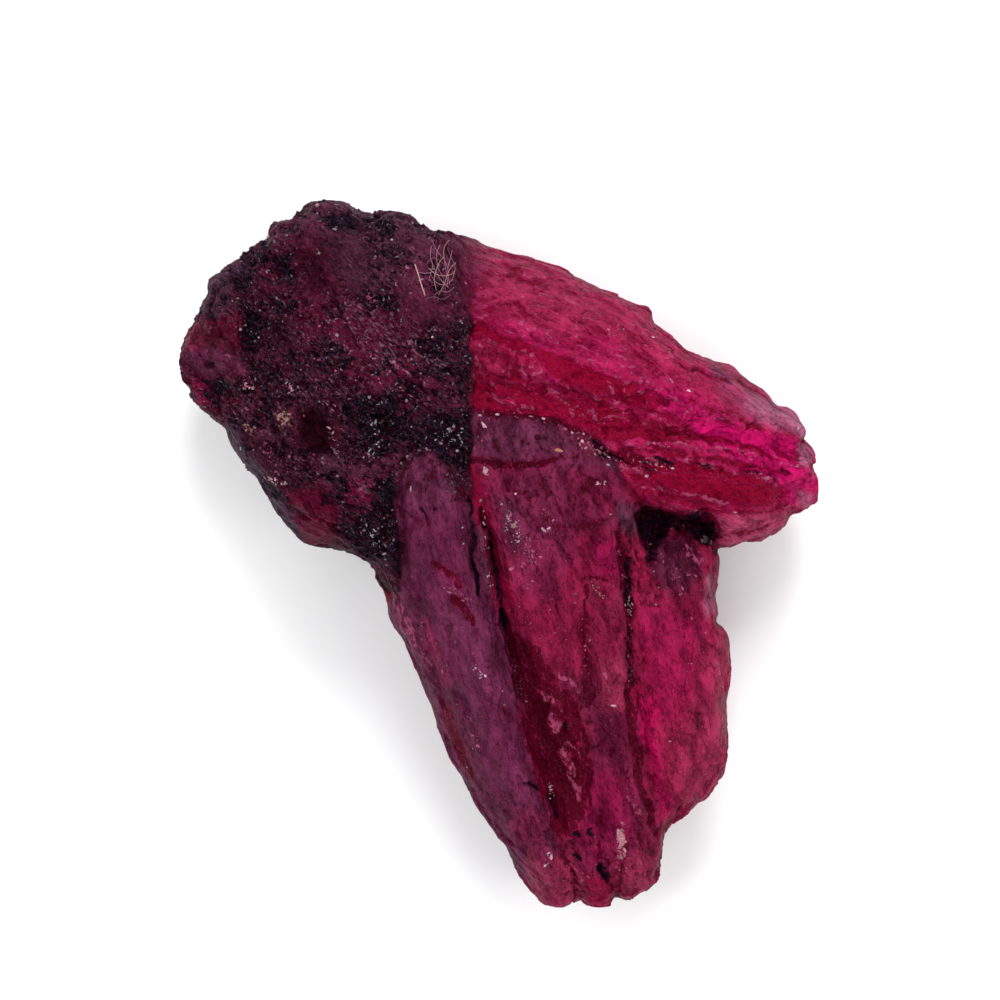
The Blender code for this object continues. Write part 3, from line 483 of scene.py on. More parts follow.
BULGES = rows(
    Bulge,
    (276, 224, 11, 9), (296, 214, 7, -4), (246, 248, 14, -6), (214, 282, 11, 5), (200, 304, 10, 3),
    (186, 330, 10, 3), (179, 360, 18, 4), (195, 398, 13, 6), (225, 428, 9, -4), (254, 478, 14, -5),
    (264, 500, 12, -4), (345, 554, 20, -4), (372, 572, 14, -6), (382, 594, 12, -5), (432, 222, 18, -8),
    (470, 238, 14, 4), (540, 260, 22, 3), (562, 270, 14, 4), (618, 294, 12, 2), (645, 312, 10, 8),
    (690, 348, 14, -4), (731, 369, 13, 5), (782, 400, 12, -6), (802, 431, 5, 4), (806, 441, 4, -4),
    (812, 455, 6, 4), (814, 470, 4, -4), (820, 490, 11, 6), (796, 516, 9, -6), (750, 543, 16, -4),
    (718, 548, 7, -9), (718, 596, 14, -3), (724, 622, 8, -8), (726, 706, 13, -3), (727, 746, 12, 3),
    (720, 774, 13, 6), (704, 796, 10, 4), (396, 622, 13, 6), (444, 732, 15, 5), (454, 758, 14, 5),
    (484, 806, 14, 2), (506, 850, 10, -3), (556, 906, 13, 6), (578, 896, 6, -5), (601, 908, 10, 6),
    (628, 898, 9, 5), (612, 902, 5, -3), (660, 862, 10, -3),
)

# Where the skin is broken into shingles, and where it is smooth.
RUGGED = rows(
    Area,
    (1.0, 6, (
        (468, 322), (545, 362), (640, 388), (700, 402), (764, 420), (812, 440), (822, 484), (800, 508),
        (700, 500), (636, 480), (600, 445), (520, 416), (468, 412))),
    (0.5, 10, ((474, 430), (600, 446), (614, 520), (560, 570), (500, 560), (480, 500))),
    (0.8, 6, ((636, 505), (720, 512), (712, 560), (700, 590), (650, 600), (620, 560), (612, 500))),
    (0.6, 8, ((535, 670), (585, 680), (596, 760), (560, 800), (530, 760))),
    (0.5, 8, ((520, 760), (620, 800), (664, 850), (660, 910), (540, 910), (516, 820))),
)
# Where light flakes lie thick on the lump.
FLAKY = rows(
    Area,
    (0.85, 12, (
        (300, 330), (360, 300), (400, 330), (472, 370), (472, 410), (400, 400), (350, 400), (326, 410),
        (300, 446), (240, 446), (226, 404), (270, 372))),
    (0.8, 10, ((350, 398), (410, 398), (410, 466), (352, 466))),
    (0.9, 6, ((428, 424), (472, 420), (470, 462), (440, 456))),
    (0.7, 8, ((322, 456), (378, 452), (384, 500), (336, 506))),
    (0.5, 8, ((340, 506), (402, 500), (402, 566), (350, 556))),
    (0.6, 8, ((264, 262), (300, 270), (302, 330), (268, 330))),
    (0.5, 8, ((244, 440), (312, 440), (312, 486), (262, 486))),
    (0.35, 16, ((190, 200), (470, 200), (470, 330), (190, 330))),
)
CALM = rows(
    Area,
    (0.75, 10, ((296, 236), (362, 232), (370, 296), (300, 304))),
    (0.55, 8, ((398, 296), (472, 290), (472, 328), (404, 328))),
    (0.95, 6, ((302, 412), (326, 408), (342, 430), (340, 460), (316, 458), (300, 440))),
    (0.9, 8, ((290, 492), (336, 484), (342, 520), (338, 548), (300, 546))),
    (0.75, 8, ((186, 320), (240, 326), (246, 374), (190, 380))),
    (0.6, 6, ((222, 424), (250, 430), (300, 500), (316, 545), (290, 545), (232, 460))),
    (0.85, 8, ((694, 424), (796, 430), (804, 452), (760, 450), (740, 446), (690, 436))),
    (0.75, 8, ((694, 384), (740, 386), (800, 412), (800, 426), (760, 422), (720, 408))),
    (0.7, 8, ((650, 474), (700, 476), (760, 488), (790, 500), (750, 512), (690, 504), (654, 492))),
    (0.8, 6, ((470, 462), (484, 480), (500, 560), (520, 640), (508, 640), (486, 560), (470, 490))),
    (0.8, 6, ((520, 700), (548, 760), (570, 830), (556, 836), (534, 780))),
    (0.6, 8, ((500, 345), (600, 372), (620, 392), (560, 386), (500, 358))),
    (0.6, 10, ((636, 600), (720, 600), (736, 700), (700, 800), (650, 800))),
    (0.55, 10, ((400, 520), (460, 520), (490, 600), (520, 760), (500, 800), (440, 700), (400, 600))),
    (0.4, 10, ((500, 560), (600, 560), (615, 640), (600, 690), (540, 650))),
    (0.8, 5, ((778, 468), (822, 474), (820, 504), (782, 502))),
    (0.6, 6, ((584, 872), (626, 872), (624, 904), (586, 904))),
    (0.6, 6, ((586, 766), (618, 766), (620, 834), (590, 834))),
)


def smoothstep(low, high, value):
    share = np.clip((value - low) / (high - low), 0, 1)
    return share * share * (3 - 2 * share)


def lattice(cells, seed):
    """An even number from 0 to 1 that belongs to each whole cell."""
    east, north, up = (cells[:, i].astype(np.int64).astype(np.uint32) for i in range(3))
    mixed = east * np.uint32(374761393) + north * np.uint32(668265263) + up * np.uint32(2246822519)
    mixed = mixed + np.uint32((seed * 3266489917) % 4294967296)
    mixed = (mixed ^ (mixed >> np.uint32(15))) * np.uint32(2246822519)
    mixed = (mixed ^ (mixed >> np.uint32(13))) * np.uint32(3266489917)
    mixed = mixed ^ (mixed >> np.uint32(16))
    return mixed / 4294967295.0


def smooth_noise(places, seed):
    """Smooth noise from -1 to 1, one swell to each unit."""
    base = np.floor(places)
    part = places - base
    part = part * part * (3 - 2 * part)
    total = np.zeros(len(places))
    for corner in np.ndindex(2, 2, 2):
        weight = np.prod(np.where(np.array(corner, bool), part, 1 - part), axis=1)
        total += weight * lattice(base + corner, seed)
    return total * 2 - 1


OCTAVE_STEP, OCTAVE_SHIFT, OCTAVE_FADE = 2.03, 7.3, 0.55  # each finer layer of noise against the last


def rough(places, size, stretch=(1, 1, 1), octaves=3, seed=SEED):
    """Layered noise from about -1 to 1, its largest swells of that size in mm."""
    scaled = places / (np.array(stretch, float) * size)
    total = np.zeros(len(places))
    for octave in range(octaves):
        finer = scaled * OCTAVE_STEP**octave + OCTAVE_SHIFT * octave
        total += smooth_noise(finer, seed + 17 * octave) * OCTAVE_FADE**octave
    return total


def cells(places, size, stretch=(1, 1, 1), seed=SEED):
    """The gap to the nearest grain, how much further the next is, its own number and its slope's height."""
    scaled = places / (np.array(stretch, float) * size)
    base = np.floor(scaled)
    nearest = np.full(len(places), 9.0)
    second = np.full(len(places), 9.0)
    own = np.zeros(len(places))
    slope = np.zeros(len(places))
    for step in np.ndindex(3, 3, 3):
        cell = base + np.array(step) - 1
        offset = scaled - cell - np.stack([lattice(cell, seed + 101 * i) for i in range(3)], axis=1)
        gap = np.linalg.norm(offset, axis=1)
        closer = gap < nearest
        second = np.where(closer, nearest, np.minimum(second, gap))
        nearest = np.where(closer, gap, nearest)
        tilt = np.stack([lattice(cell, seed + 701 + 53 * i) for i in range(3)], axis=1) * 2 - 1
        own = np.where(closer, lattice(cell, seed + 907), own)
        slope = np.where(closer, np.sum(offset * tilt, axis=1), slope)
    return nearest, second - nearest, own, slope


def broken_planes(places, size, stretch=(1, 1, 1), seed=SEED):
    """Small flat breaks that tilt every way and step where they meet, from about -1 to 1."""
    bend = np.stack([rough(places, size, octaves=2, seed=seed + 31 * i) for i in range(3)], axis=1)
    _, _, own, slope = cells(places + 0.25 * size * bend, size, stretch, seed)
    return 1.4 * slope + 0.7 * (own - 0.5)


def turned(places, angle):
    """Places turned so that their first number runs along the crystals."""
    result = places.copy()
    result[:, 0] = places[:, 0] * math.cos(angle) + places[:, 1] * math.sin(angle)
    result[:, 1] = -places[:, 0] * math.sin(angle) + places[:, 1] * math.cos(angle)
    return result


def on_sheet(places):
    """Where places in mm lie on the drawing sheet."""
    return np.stack(
        (SHEET_ORIGIN[0] + places[:, 0] * STEPS_PER_MM, SHEET_ORIGIN[1] - places[:, 1] * STEPS_PER_MM), axis=1
    )


def off_sheet(across, down):
    """Where a place on the drawing sheet lies, in mm."""
    return (across - SHEET_ORIGIN[0]) / STEPS_PER_MM, (SHEET_ORIGIN[1] - down) / STEPS_PER_MM


def line_distance(sheet, line):
    """How far each place on the sheet is from a line of straight runs, and how far along it, from 0 to 1."""
    line = np.array(line, float)
    nearest = np.full(len(sheet), 1e9)
    along = np.zeros(len(sheet))
    lengths = np.linalg.norm(np.diff(line, axis=0), axis=1)
    starts = np.concatenate(([0], np.cumsum(lengths))) / lengths.sum()
    for i, length in enumerate(lengths):
        step = line[i + 1] - line[i]
        share = np.clip(((sheet - line[i]) @ step) / (length * length), 0, 1)
        gap = np.linalg.norm(sheet - line[i] - share[:, None] * step, axis=1)
        closer = gap < nearest
        nearest[closer] = gap[closer]
        along[closer] = starts[i] + share[closer] * length / lengths.sum()
    return nearest, along


def outline_depth(sheet, outline):
    """How far each place lies inside a closed outline; less than nothing outside it."""
    outline = np.array(outline, float)
    gap, _ = line_distance(sheet, np.vstack((outline, outline[:1])))
    inside = np.zeros(len(sheet), bool)
    for (ax, ay), (bx, by) in zip(outline, np.roll(outline, -1, axis=0)):
        if ay == by:
            continue
        crosses = (ay > sheet[:, 1]) != (by > sheet[:, 1])
        inside ^= crosses & (sheet[:, 0] < (bx - ax) * (sheet[:, 1] - ay) / (by - ay) + ax)
    return np.where(inside, gap, -gap)


def patch_cover(sheet, patch):
    low, high = np.min(patch.outline, axis=0) - 2 * patch.edge, np.max(patch.outline, axis=0) + 2 * patch.edge
    near = np.all((sheet > low) & (sheet < high), axis=1)
    cover = np.zeros(len(sheet))
    cover[near] = smoothstep(-patch.edge, patch.edge, outline_depth(sheet[near], patch.outline))
    return cover


def stroke_cover(sheet, stroke):
    reach = 3 * stroke.width
    low, high = np.min(stroke.line, axis=0) - reach, np.max(stroke.line, axis=0) + reach
    near = np.all((sheet > low) & (sheet < high), axis=1)
    cover = np.zeros(len(sheet))
    gap, along = line_distance(sheet[near], stroke.line)
    taper = 0.45 + 0.55 * smoothstep(0, 0.15, along) * smoothstep(1, 0.85, along)
    cover[near] = np.exp(-((gap / (stroke.width * taper)) ** 2))
    return cover


def shaken(places, size, octaves, seed):
    """A sideways shake of each place, across and down, from about -1 to 1."""
    return np.stack([rough(places, size, octaves=octaves, seed=SEED + seed + i) for i in range(2)], axis=1)


def wandered(sheet, places, broad, fine):
    """The sheet shaken a little, so that no edge painted on it runs straight."""
    return sheet + broad * shaken(places, 0.9, 2, 40) + fine * shaken(places, 0.22, 2, 60)


WALL_FROM, WALL_TO = 5.5, 2.5  # heights in mm between which the low part of the walls begins


def strayed(sheet, places, reach):
    """The sheet shaken harder low on the walls, so that no mark runs straight down them."""
    low = smoothstep(WALL_FROM, WALL_TO, places[:, 2])
    return sheet + reach * low[:, None] * shaken(places, 2.4, 3, 90)


def area_cover(sheet, areas):
    cover = np.zeros(len(sheet))
    for area in areas:
        cover = np.maximum(cover, area.share * patch_cover(sheet, area))
    return cover


def lump_share(sheet):
    """1 on the dark lump and 0 on the bladed crystals, which part along the seam."""
    edge = SEAM_EDGE + SEAM_SOFTENING * smoothstep(SEAM_FROM, SEAM_TO, sheet[:, 1])
    return smoothstep(-edge, edge, outline_depth(sheet, LUMP_OUTLINE))


def wing_share(sheet):
    return smoothstep(-3, 3, outline_depth(sheet, WING_OUTLINE))


def lump_grains(places):
    """The lump's grains, as cells gives them."""
    return cells(turned(places, GRIT_ANGLE), 0.30, (1.0, 0.52, 1.8), SEED + 3)


def blade_streaks(places, angle, seed):
    """Fine ribs that run along the crystals, from about -1 to 1."""
    lie = turned(places, angle)
    return 0.6 * rough(lie, 0.60, (2.8, 1, 1.3), 3, seed) + 0.4 * rough(lie, 0.26, (2.2, 1, 1.3), 2, seed + 5)


def cover_of(sheet, mark):
    """How much of a patch or a stroke lies at each place, from 0 to 1."""
    return patch_cover(sheet, mark) if isinstance(mark, Patch) else stroke_cover(sheet, mark)


def marks_lift(sheet, marks):
    """How far the marks stand out of the skin, in mm."""
    lift = np.zeros(len(sheet))
    for mark in marks:
        if mark.lift:
            lift += mark.lift * cover_of(sheet, mark)
    return lift


LUMP_RISE = 0.10  # the dark lump stands this much proud of the crystals, in mm


def form_lift(places, normals, depth):
    """How far the named ledges, grooves, cracks and pits stand out of the skin, in mm."""
    sheet = wandered(on_sheet(places), places, 2.0, 0.8)
    lump = lump_share(sheet)
    upward = smoothstep(0.15, 0.6, normals[:, 2])
    body = marks_lift(sheet, BODY_PATCHES + BODY_STROKES)
    crust = marks_lift(sheet, LUMP_PATCHES + LUMP_STROKES)
    return depth * upward * ((1 - lump) * body + lump * crust + LUMP_RISE * lump)


def bulged(places, normals):
    """The places moved sideways where the outline bulges or draws in."""
    sheet = on_sheet(places)
    push = np.zeros(len(places))
    for bulge in BULGES:
        gap = np.hypot(sheet[:, 0] - bulge.across, sheet[:, 1] - bulge.down)
        push += bulge.push * np.exp(-((gap / bulge.reach) ** 2))
    moved = places.copy()
    moved[:, :2] += normals[:, :2] * (push / STEPS_PER_MM)[:, None]
    return moved


# Flat breaks of the skin: how high in mm, their size, how they stretch along, across and down, and their seed.
Breaks = namedtuple("Breaks", "height size stretch seed")

LUMP_BREAKS = (Breaks(0.20, 1.1, (1.4, 0.8, 1.2), 8), Breaks(0.22, 2.6, (1.2, 0.9, 1.2), 9))
BLADE_BREAKS = Breaks(0.14, 1.3, (2.1, 0.8, 1.3), 2)
SHINGLES = Breaks(0.035, 0.48, (1.6, 0.8, 1.2), 4)
SHINGLE_RISE = 0.11  # how much higher the shingles are where the skin is rugged
RIB_HEIGHT = 0.06
PIT_HEIGHT, PIT_RISE, PIT_SIZE = 0.03, 0.02, 0.34
WING_SEED, FINGER_SEED = 20, 30


def breaks_lift(places, breaks, seed=0):
    return broken_planes(places, breaks.size, breaks.stretch, SEED + seed + breaks.seed)


def skin_lift(places, normals, depth):
    """How far the fine roughness stands out of the skin in mm: grit on the lump, ribs and breaks elsewhere."""
    sheet = wandered(on_sheet(places), places, 2.0, 0.8)
    lump, wing = lump_share(sheet), wing_share(sheet)
    fingers = (1 - lump) * (1 - wing)
    rugged, calm = area_cover(sheet, RUGGED), area_cover(sheet, CALM)
    _, edge, own, _ = lump_grains(places)
    grains = 0.17 * (own - 0.5) + 0.06 * smoothstep(0, 0.35, edge)
    lifted = lump * (1 - 0.8 * calm) * grains
    for breaks in LUMP_BREAKS:
        lifted += lump * breaks.height * breaks_lift(turned(places, GRIT_ANGLE), breaks)
    for share, angle, seed in ((wing * (1 - lump), WING_ANGLE, WING_SEED), (fingers, FINGER_ANGLE, FINGER_SEED)):
        lie = turned(places, angle)
        lifted += share * (1 - 0.7 * calm) * RIB_HEIGHT * blade_streaks(places, angle, SEED + seed)
        lifted += share * BLADE_BREAKS.height * (1 - 0.6 * calm) * breaks_lift(lie, BLADE_BREAKS, seed)
        fine = (SHINGLES.height + SHINGLE_RISE * rugged) * (1 - 0.7 * calm)
        lifted += share * fine * breaks_lift(lie, SHINGLES, seed)
    pits = rough(places, PIT_SIZE, octaves=3, seed=SEED + 50)
    lifted += (1 - lump) * (PIT_HEIGHT + PIT_RISE * rugged) * (1 - 0.5 * calm) * pits
    walls = 1 - smoothstep(0.0, 0.45, normals[:, 2])
    return depth * lifted * (1 - (0.35 + 0.30 * lump) * walls)


def through_modifier(mesh, kind, **settings):
    """The mesh as one modifier leaves it."""
    holder = bpy.data.objects.new("holder", mesh)
    bpy.context.scene.collection.objects.link(holder)
    modifier = holder.modifiers.new(kind.title(), kind)
    for name, value in settings.items():
        setattr(modifier, name, value)
    graph = bpy.context.evaluated_depsgraph_get()
    made = bpy.data.meshes.new_from_object(holder.evaluated_get(graph))
    bpy.data.objects.remove(holder)
    bpy.data.meshes.remove(mesh)
    return made


def vertex_places(mesh):
    places, normals = np.empty(len(mesh.vertices) * 3), np.empty(len(mesh.vertices) * 3)
    mesh.vertices.foreach_get("co", places)
    mesh.vertices.foreach_get("normal", normals)
    return places.reshape(-1, 3), normals.reshape(-1, 3)


def put_vertices(mesh, places):
    mesh.vertices.foreach_set("co", places.ravel())
    mesh.update()


def weld(mesh):
    """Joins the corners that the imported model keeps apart."""
    shape = bmesh.new()
    shape.from_mesh(mesh)
    bmesh.ops.remove_doubles(shape, verts=shape.verts[:], dist=0.0005)
    shape.to_mesh(mesh)
    shape.free()


BASE_EDGE = 0.12  # skin lower than this is part of the flat base, in mm
COARSE_GRID = 1.3  # the first grid's spacing against the skin's own
ROUNDING, SOFTENING = 14, 1  # rounds of smoothing before the ledges are cut, and after


def keep_in_box(places, low, high):
    """Presses what stands out of the solid's box back onto it, and sets the base flat on the floor."""
    kept = np.clip(places, low, high)
    kept[places[:, 2] < BASE_EDGE, 2] = 0.0
    return kept


def stone_mesh(settings):
    """The node's solid with its facets smoothed away and the stone's own skin on it, in mm."""
    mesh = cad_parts[NODE].data.copy()
    mesh.transform(Matrix.Scale(MM_PER_METRE, 4))
    weld(mesh)
    low, high = np.array(CAD_LOW) * MM_PER_METRE, np.array(CAD_HIGH) * MM_PER_METRE
    grid = settings.grid * MM_PER_METRE
    mesh = through_modifier(mesh, "REMESH", mode="VOXEL", voxel_size=grid * COARSE_GRID)
    mesh = through_modifier(mesh, "SMOOTH", factor=0.5, iterations=ROUNDING)
    places, normals = vertex_places(mesh)
    lift = form_lift(places, normals, settings.form_depth) + settings.growth * MM_PER_METRE
    put_vertices(mesh, bulged(places, normals) + normals * lift[:, None])
    mesh = through_modifier(mesh, "REMESH", mode="VOXEL", voxel_size=grid)
    mesh = through_modifier(mesh, "SMOOTH", factor=0.5, iterations=SOFTENING)
    places, normals = vertex_places(mesh)
    places = places + normals * skin_lift(places, normals, settings.skin_depth)[:, None]
    put_vertices(mesh, keep_in_box(places, low, high))
    mesh = through_modifier(mesh, "DECIMATE", ratio=min(1, settings.faces / (2 * len(mesh.polygons))))
    places, _ = vertex_places(mesh)
    put_vertices(mesh, keep_in_box(places, low, high))
    return mesh


# Relief against a skin smoothed by so many more rounds: the height in mm that counts in full, and its share.
RELIEFS = ((3, 0.016, 0.45), (24, 0.07, 0.40), (80, 0.18, 0.35))


def relief_of(mesh):
    """How far each point stands out of the skin around it, from -1 in a hollow to 1 on a ridge."""
    places, normals = vertex_places(mesh)
    ends = np.empty(len(mesh.edges) * 2, np.int32)
    mesh.edges.foreach_get("vertices", ends)
    one, other = ends.reshape(-1, 2).T
    count = np.maximum(1, np.bincount(ends, minlength=len(places)))
    smooth = places.copy()
    relief = np.zeros(len(places))
    for rounds, height, share in RELIEFS:
        for _ in range(rounds):
            for i in range(3):
                near = np.bincount(one, smooth[other, i], len(places))
                near += np.bincount(other, smooth[one, i], len(places))
                smooth[:, i] += 0.5 * (near / count - smooth[:, i])
        relief += share * np.clip(np.sum((places - smooth) * normals, axis=1) / height, -1, 1)
    return np.clip(relief, -1, 1)


def covered(colours, paint, cover):
    """The colours under so much of a paint."""
    return colours + (np.array(paint) - colours) * cover[:, None]


def layer_of(mark):
    """Which layer a mark belongs to: deep red hollows, partly painted shade; black mica; pale flakes, partly painted
    highlight; or the plain paint.
    """
    for layer, paints in LAYERS.items():
        if mark.paint in paints and (layer != "pale" or isinstance(mark, Stroke)):
            return layer
    return "paint"


def painted(sheet, paints, ground, undercoats, marks):
    """The plain paint at each place, and how much of each other layer lies there."""
    colours = np.tile(paints[ground], (len(sheet), 1))
    layers = {name: np.zeros(len(sheet)) for name in LAYERS}
    for mark in marks:
        cover = mark.share * cover_of(sheet, mark)
        layer = layer_of(mark)
        if layer == "paint":
            colours = covered(colours, paints[mark.paint], cover)
        else:
            for other in layers:
                layers[other] *= 1 - cover
            layers[layer] = np.maximum(layers[layer], cover)
            undercoat, strength = undercoats[layer]
            colours = covered(colours, paints[undercoat], strength * cover)
    return colours, layers


def stone_paint(places, normals, relief, paints):
    """The stone's plain paint at each place with painted shade and highlight from its relief, the layers over it, and
    where it is lump, wing or smooth.
    """
    sheet = wandered(strayed(on_sheet(places), places, 40.0), places, 3.0, 1.2)
    steady = wandered(strayed(on_sheet(places), places, 16.0), places, 1.2, 0.8)
    lump, wing, calm = lump_share(steady), wing_share(steady), area_cover(steady, CALM)
    lively, flaky = 1 - calm, area_cover(steady, FLAKY)
    body, over_body = painted(sheet, paints, "crimson", UNDERCOATS["body"], BODY_PATCHES + BODY_STROKES)
    crust, over_crust = painted(sheet, paints, "maroon", UNDERCOATS["lump"], LUMP_PATCHES + LUMP_STROKES)
    streaks = wing * blade_streaks(places, WING_ANGLE, SEED + WING_SEED)
    streaks += (1 - wing) * blade_streaks(places, FINGER_ANGLE, SEED + FINGER_SEED)
    clouds = rough(places, 1.6, octaves=3, seed=SEED + 70)
    patchy = rough(places, 0.6, octaves=2, seed=SEED + 85)
    grit = rough(places, 0.9, octaves=3, seed=SEED + 80)
    # Painted shade and highlight: ridges are painted paler and hollows darker by the relief, over the random tone of
    # streaks, clouds and grit.
    body *= np.exp(0.08 * streaks + 0.12 * clouds + 0.26 * relief)[:, None]
    body *= (1 + 0.12 * wing)[:, None]
    crust *= np.exp(-0.04 + 0.34 * grit + 0.30 * relief)[:, None]
    # The layers follow the relief too, wherever no mark lays more of them, as painted shade and highlight: more black
    # mica and deep red in the hollows, more pale flakes and edges on the ridges.
    mica = lively * (0.36 + 0.12 * flaky + 0.30 * clouds + 0.26 * patchy - 0.25 * relief)
    over_crust["dark"] = np.maximum(over_crust["dark"], mica)
    flakes = lively * (0.13 * flaky + 0.10 * patchy + 0.20 * relief)
    over_crust["pale"] = np.maximum(over_crust["pale"], flakes)
    # Painted shade: deep red laid in the hollows, broken by the streaks.
    hollows = (0.35 + 0.65 * lively) * (0.08 - 0.18 * streaks - (0.34 + 0.12 * wing) * relief)
    over_body["deep"] = np.maximum(over_body["deep"], hollows)
    # Painted highlight: pale edges laid on the ridges, broken by the streaks.
    edges = lively * (0.03 + 0.10 * streaks + (0.18 + 0.18 * wing) * relief)
    over_body["pale"] = np.maximum(over_body["pale"], edges)
    layers = {name: over_body[name] + (over_crust[name] - over_body[name]) * lump for name in LAYERS}
    colours = body + (crust - body) * lump[:, None]
    # Painted shade: the steep walls are painted up to 35% darker, as they turn from the light.
    rim = smoothstep(0.42, 0.05, np.abs(normals[:, 2]))
    shares = {"lump": lump, "wing": wing, "calm": calm}
    return np.clip(colours * (1 - 0.35 * rim)[:, None], 0, 1), {**layers, **shares}


def put_mask(mesh, name, values):
    layer = mesh.attributes.new(name, "FLOAT", "POINT")
    layer.data.foreach_set("value", np.asarray(values, np.float32))


def put_paint(mesh, colours):
    opaque = np.hstack((colours, np.ones((len(colours), 1)))).astype(np.float32)
    layer = mesh.color_attributes.new("paint", "FLOAT_COLOR", "POINT")
    layer.data.foreach_set("color", opaque.ravel())


class Finish:
    """A material under construction: its nodes are made and joined in one line each."""

    def __init__(self, name):
        self.material = bpy.data.materials.new(name)
        self.material.use_nodes = True
        self.tree = self.material.node_tree
        self.surface = self.tree.nodes["Principled BSDF"]

    def node(self, kind, settings=None, **inputs):
        made = self.tree.nodes.new(kind)
        for name, value in (settings or {}).items():
            setattr(made, name, value)
        for name, value in inputs.items():
            self.feed(made, name.replace("_", " "), value)
        return made

    def feed(self, node, name, value):
        place = node.inputs[int(name[1:])] if name[0] == "i" and name[1:].isdigit() else node.inputs[name]
        if isinstance(value, bpy.types.NodeSocket):
            self.tree.links.new(value, place)
        else:
            place.default_value = value

    def vector(self, kind, *parts):
        inputs = {f"i{i}": part for i, part in enumerate(parts)}
        return self.node("ShaderNodeVectorMath", {"operation": kind}, **inputs).outputs[0]

    def turned(self, places, angle):
        """Places turned so that their first number runs along the crystals."""
        turn = self.node("ShaderNodeVectorRotate", {"rotation_type": "Z_AXIS"}, Vector=places, Angle=-angle)
        return turn.outputs[0]

    def places(self):
        """The place on the piece, in mm."""
        coordinates = self.node("ShaderNodeTexCoord").outputs["Object"]
        return self.vector("MULTIPLY", coordinates, (MM_PER_METRE,) * 3)

    def noise(self, places, scale, detail=3.0, roughness=0.55):
        made = self.node("ShaderNodeTexNoise", Vector=places, Scale=scale, Detail=detail, Roughness=roughness)
        return made.outputs["Fac"]

    def cells(self, places, scale):
        return self.node("ShaderNodeTexVoronoi", Vector=places, Scale=scale)

    def sum(self, kind, first, second=0.0, third=0.0):
        return self.node("ShaderNodeMath", {"operation": kind}, i0=first, i1=second, i2=third).outputs[0]

    def product(self, first, *others):
        for other in others:
            first = self.sum("MULTIPLY", first, other)
        return first

    def most(self, first, *others):
        for other in others:
            first = self.sum("MAXIMUM", first, other)
        return first

    def ramp(self, value, low, high, new_low=0.0, new_high=1.0):
        made = self.node("ShaderNodeMapRange", Value=value)
        for name, number in zip(("From Min", "From Max", "To Min", "To Max"), (low, high, new_low, new_high)):
            made.inputs[name].default_value = number
        return made.outputs[0]

    def mask(self, name):
        return self.node("ShaderNodeAttribute", {"attribute_name": name}).outputs["Fac"]

    def paint(self):
        return self.node("ShaderNodeAttribute", {"attribute_name": "paint"}).outputs["Color"]

    def mix(self, share, first, second, kind="RGBA"):
        """So much of the second laid over the first."""
        one, other, out = {"FLOAT": (2, 3, 0), "VECTOR": (4, 5, 1), "RGBA": (6, 7, 2)}[kind]
        made = self.node("ShaderNodeMix", {"data_type": kind})
        for place, value in ((0, share), (one, first), (other, second)):
            self.feed(made, f"i{place}", value)
        return made.outputs[out]

    def times(self, colour, factor):
        return self.node("ShaderNodeVectorMath", {"operation": "SCALE"}, i0=colour, Scale=factor).outputs[0]

    def set(self, **inputs):
        for name, value in inputs.items():
            self.feed(self.surface, name.replace("_", " "), value)


# The stone's noises: how each stretches along, across and down the blades, and the lump's grit, in mm, its
# detail, and how far it is moved away from the others.
Noise = namedtuple("Noise", "on_blades on_grit detail shift")

BLOTCHES = Noise((1.50, 0.62, 0.8), (1.00, 0.60, 0.8), 6.0, 0.0)
RIBS = Noise((0.34, 0.20, 0.25), (0.26, 0.14, 0.3), 3.0, 7.0)
FLAKES = Noise((0.36, 0.20, 0.3), (0.28, 0.12, 0.3), 2.5, 13.0)
SEAMS = Noise((2.20, 0.75, 1.2), (1.40, 0.70, 1.0), 4.0, 41.0)
CHINKS = Noise((0.42, 0.20, 0.3), (0.42, 0.20, 0.3), 3.0, 29.0)

CORUNDUM_IOR = 1.77


class StoneFinish(Finish):
    """The stone's finish, with masks and noises that know its lump, its wing and its fingers."""

    def __init__(self):
        super().__init__("raw_ruby")
        self.lump, self.wing = self.mask("lump"), self.mask("wing")
        self.lively = self.sum("SUBTRACT", 1.0, self.mask("calm"))
        self.plain = self.places()

    def along(self, noise):
        """A noise that runs with the wing, with the fingers or with the lump's grit, each on its own part."""
        moved = self.vector("ADD", self.plain, (noise.shift, 0, noise.shift))
        fingers, wing, grit = (self.turned(moved, angle) for angle in (FINGER_ANGLE, WING_ANGLE, GRIT_ANGLE))
        blades = self.vector("DIVIDE", self.mix(self.wing, fingers, wing, "VECTOR"), noise.on_blades)
        grit = self.vector("DIVIDE", grit, noise.on_grit)
        return self.noise(self.mix(self.lump, blades, grit, "VECTOR"), 1.0, noise.detail, 0.6)

    def on_parts(self, on_body, on_lump):
        """One strength on the bladed crystals and another on the lump."""
        return self.ramp(self.lump, 0.0, 1.0, on_body, on_lump)

    def broken(self, layer, breakup, reach, low, high):
        """A layer with crisp ragged edges: its cover pushed up and down by the noise."""
        return self.ramp(self.product(self.ramp(breakup, 0.36, 0.64, 1 - reach, 1 + reach), layer), low, high)

    def thin_lines(self, noise, width, gate, low, high):
        """Fine wandering lines where a noise crosses its middle, broken up by another."""
        from_middle = self.sum("ABSOLUTE", self.sum("SUBTRACT", noise, 0.5))
        line = self.ramp(from_middle, 0.4 * width, width, 1.0, 0.0)
        return self.product(line, self.ramp(gate, low, high))

    def specks(self, places, scale, low, smallest, largest):
        """Round specks in some of the cells of a Voronoi pattern, each of its own size."""
        spots = self.cells(places, scale)
        number = self.node("ShaderNodeSeparateColor", Color=spots.outputs["Color"]).outputs[0]
        inside = self.sum("LESS_THAN", spots.outputs["Distance"], self.ramp(number, low, 1.0, smallest, largest))
        return self.product(inside, self.sum("GREATER_THAN", number, low))


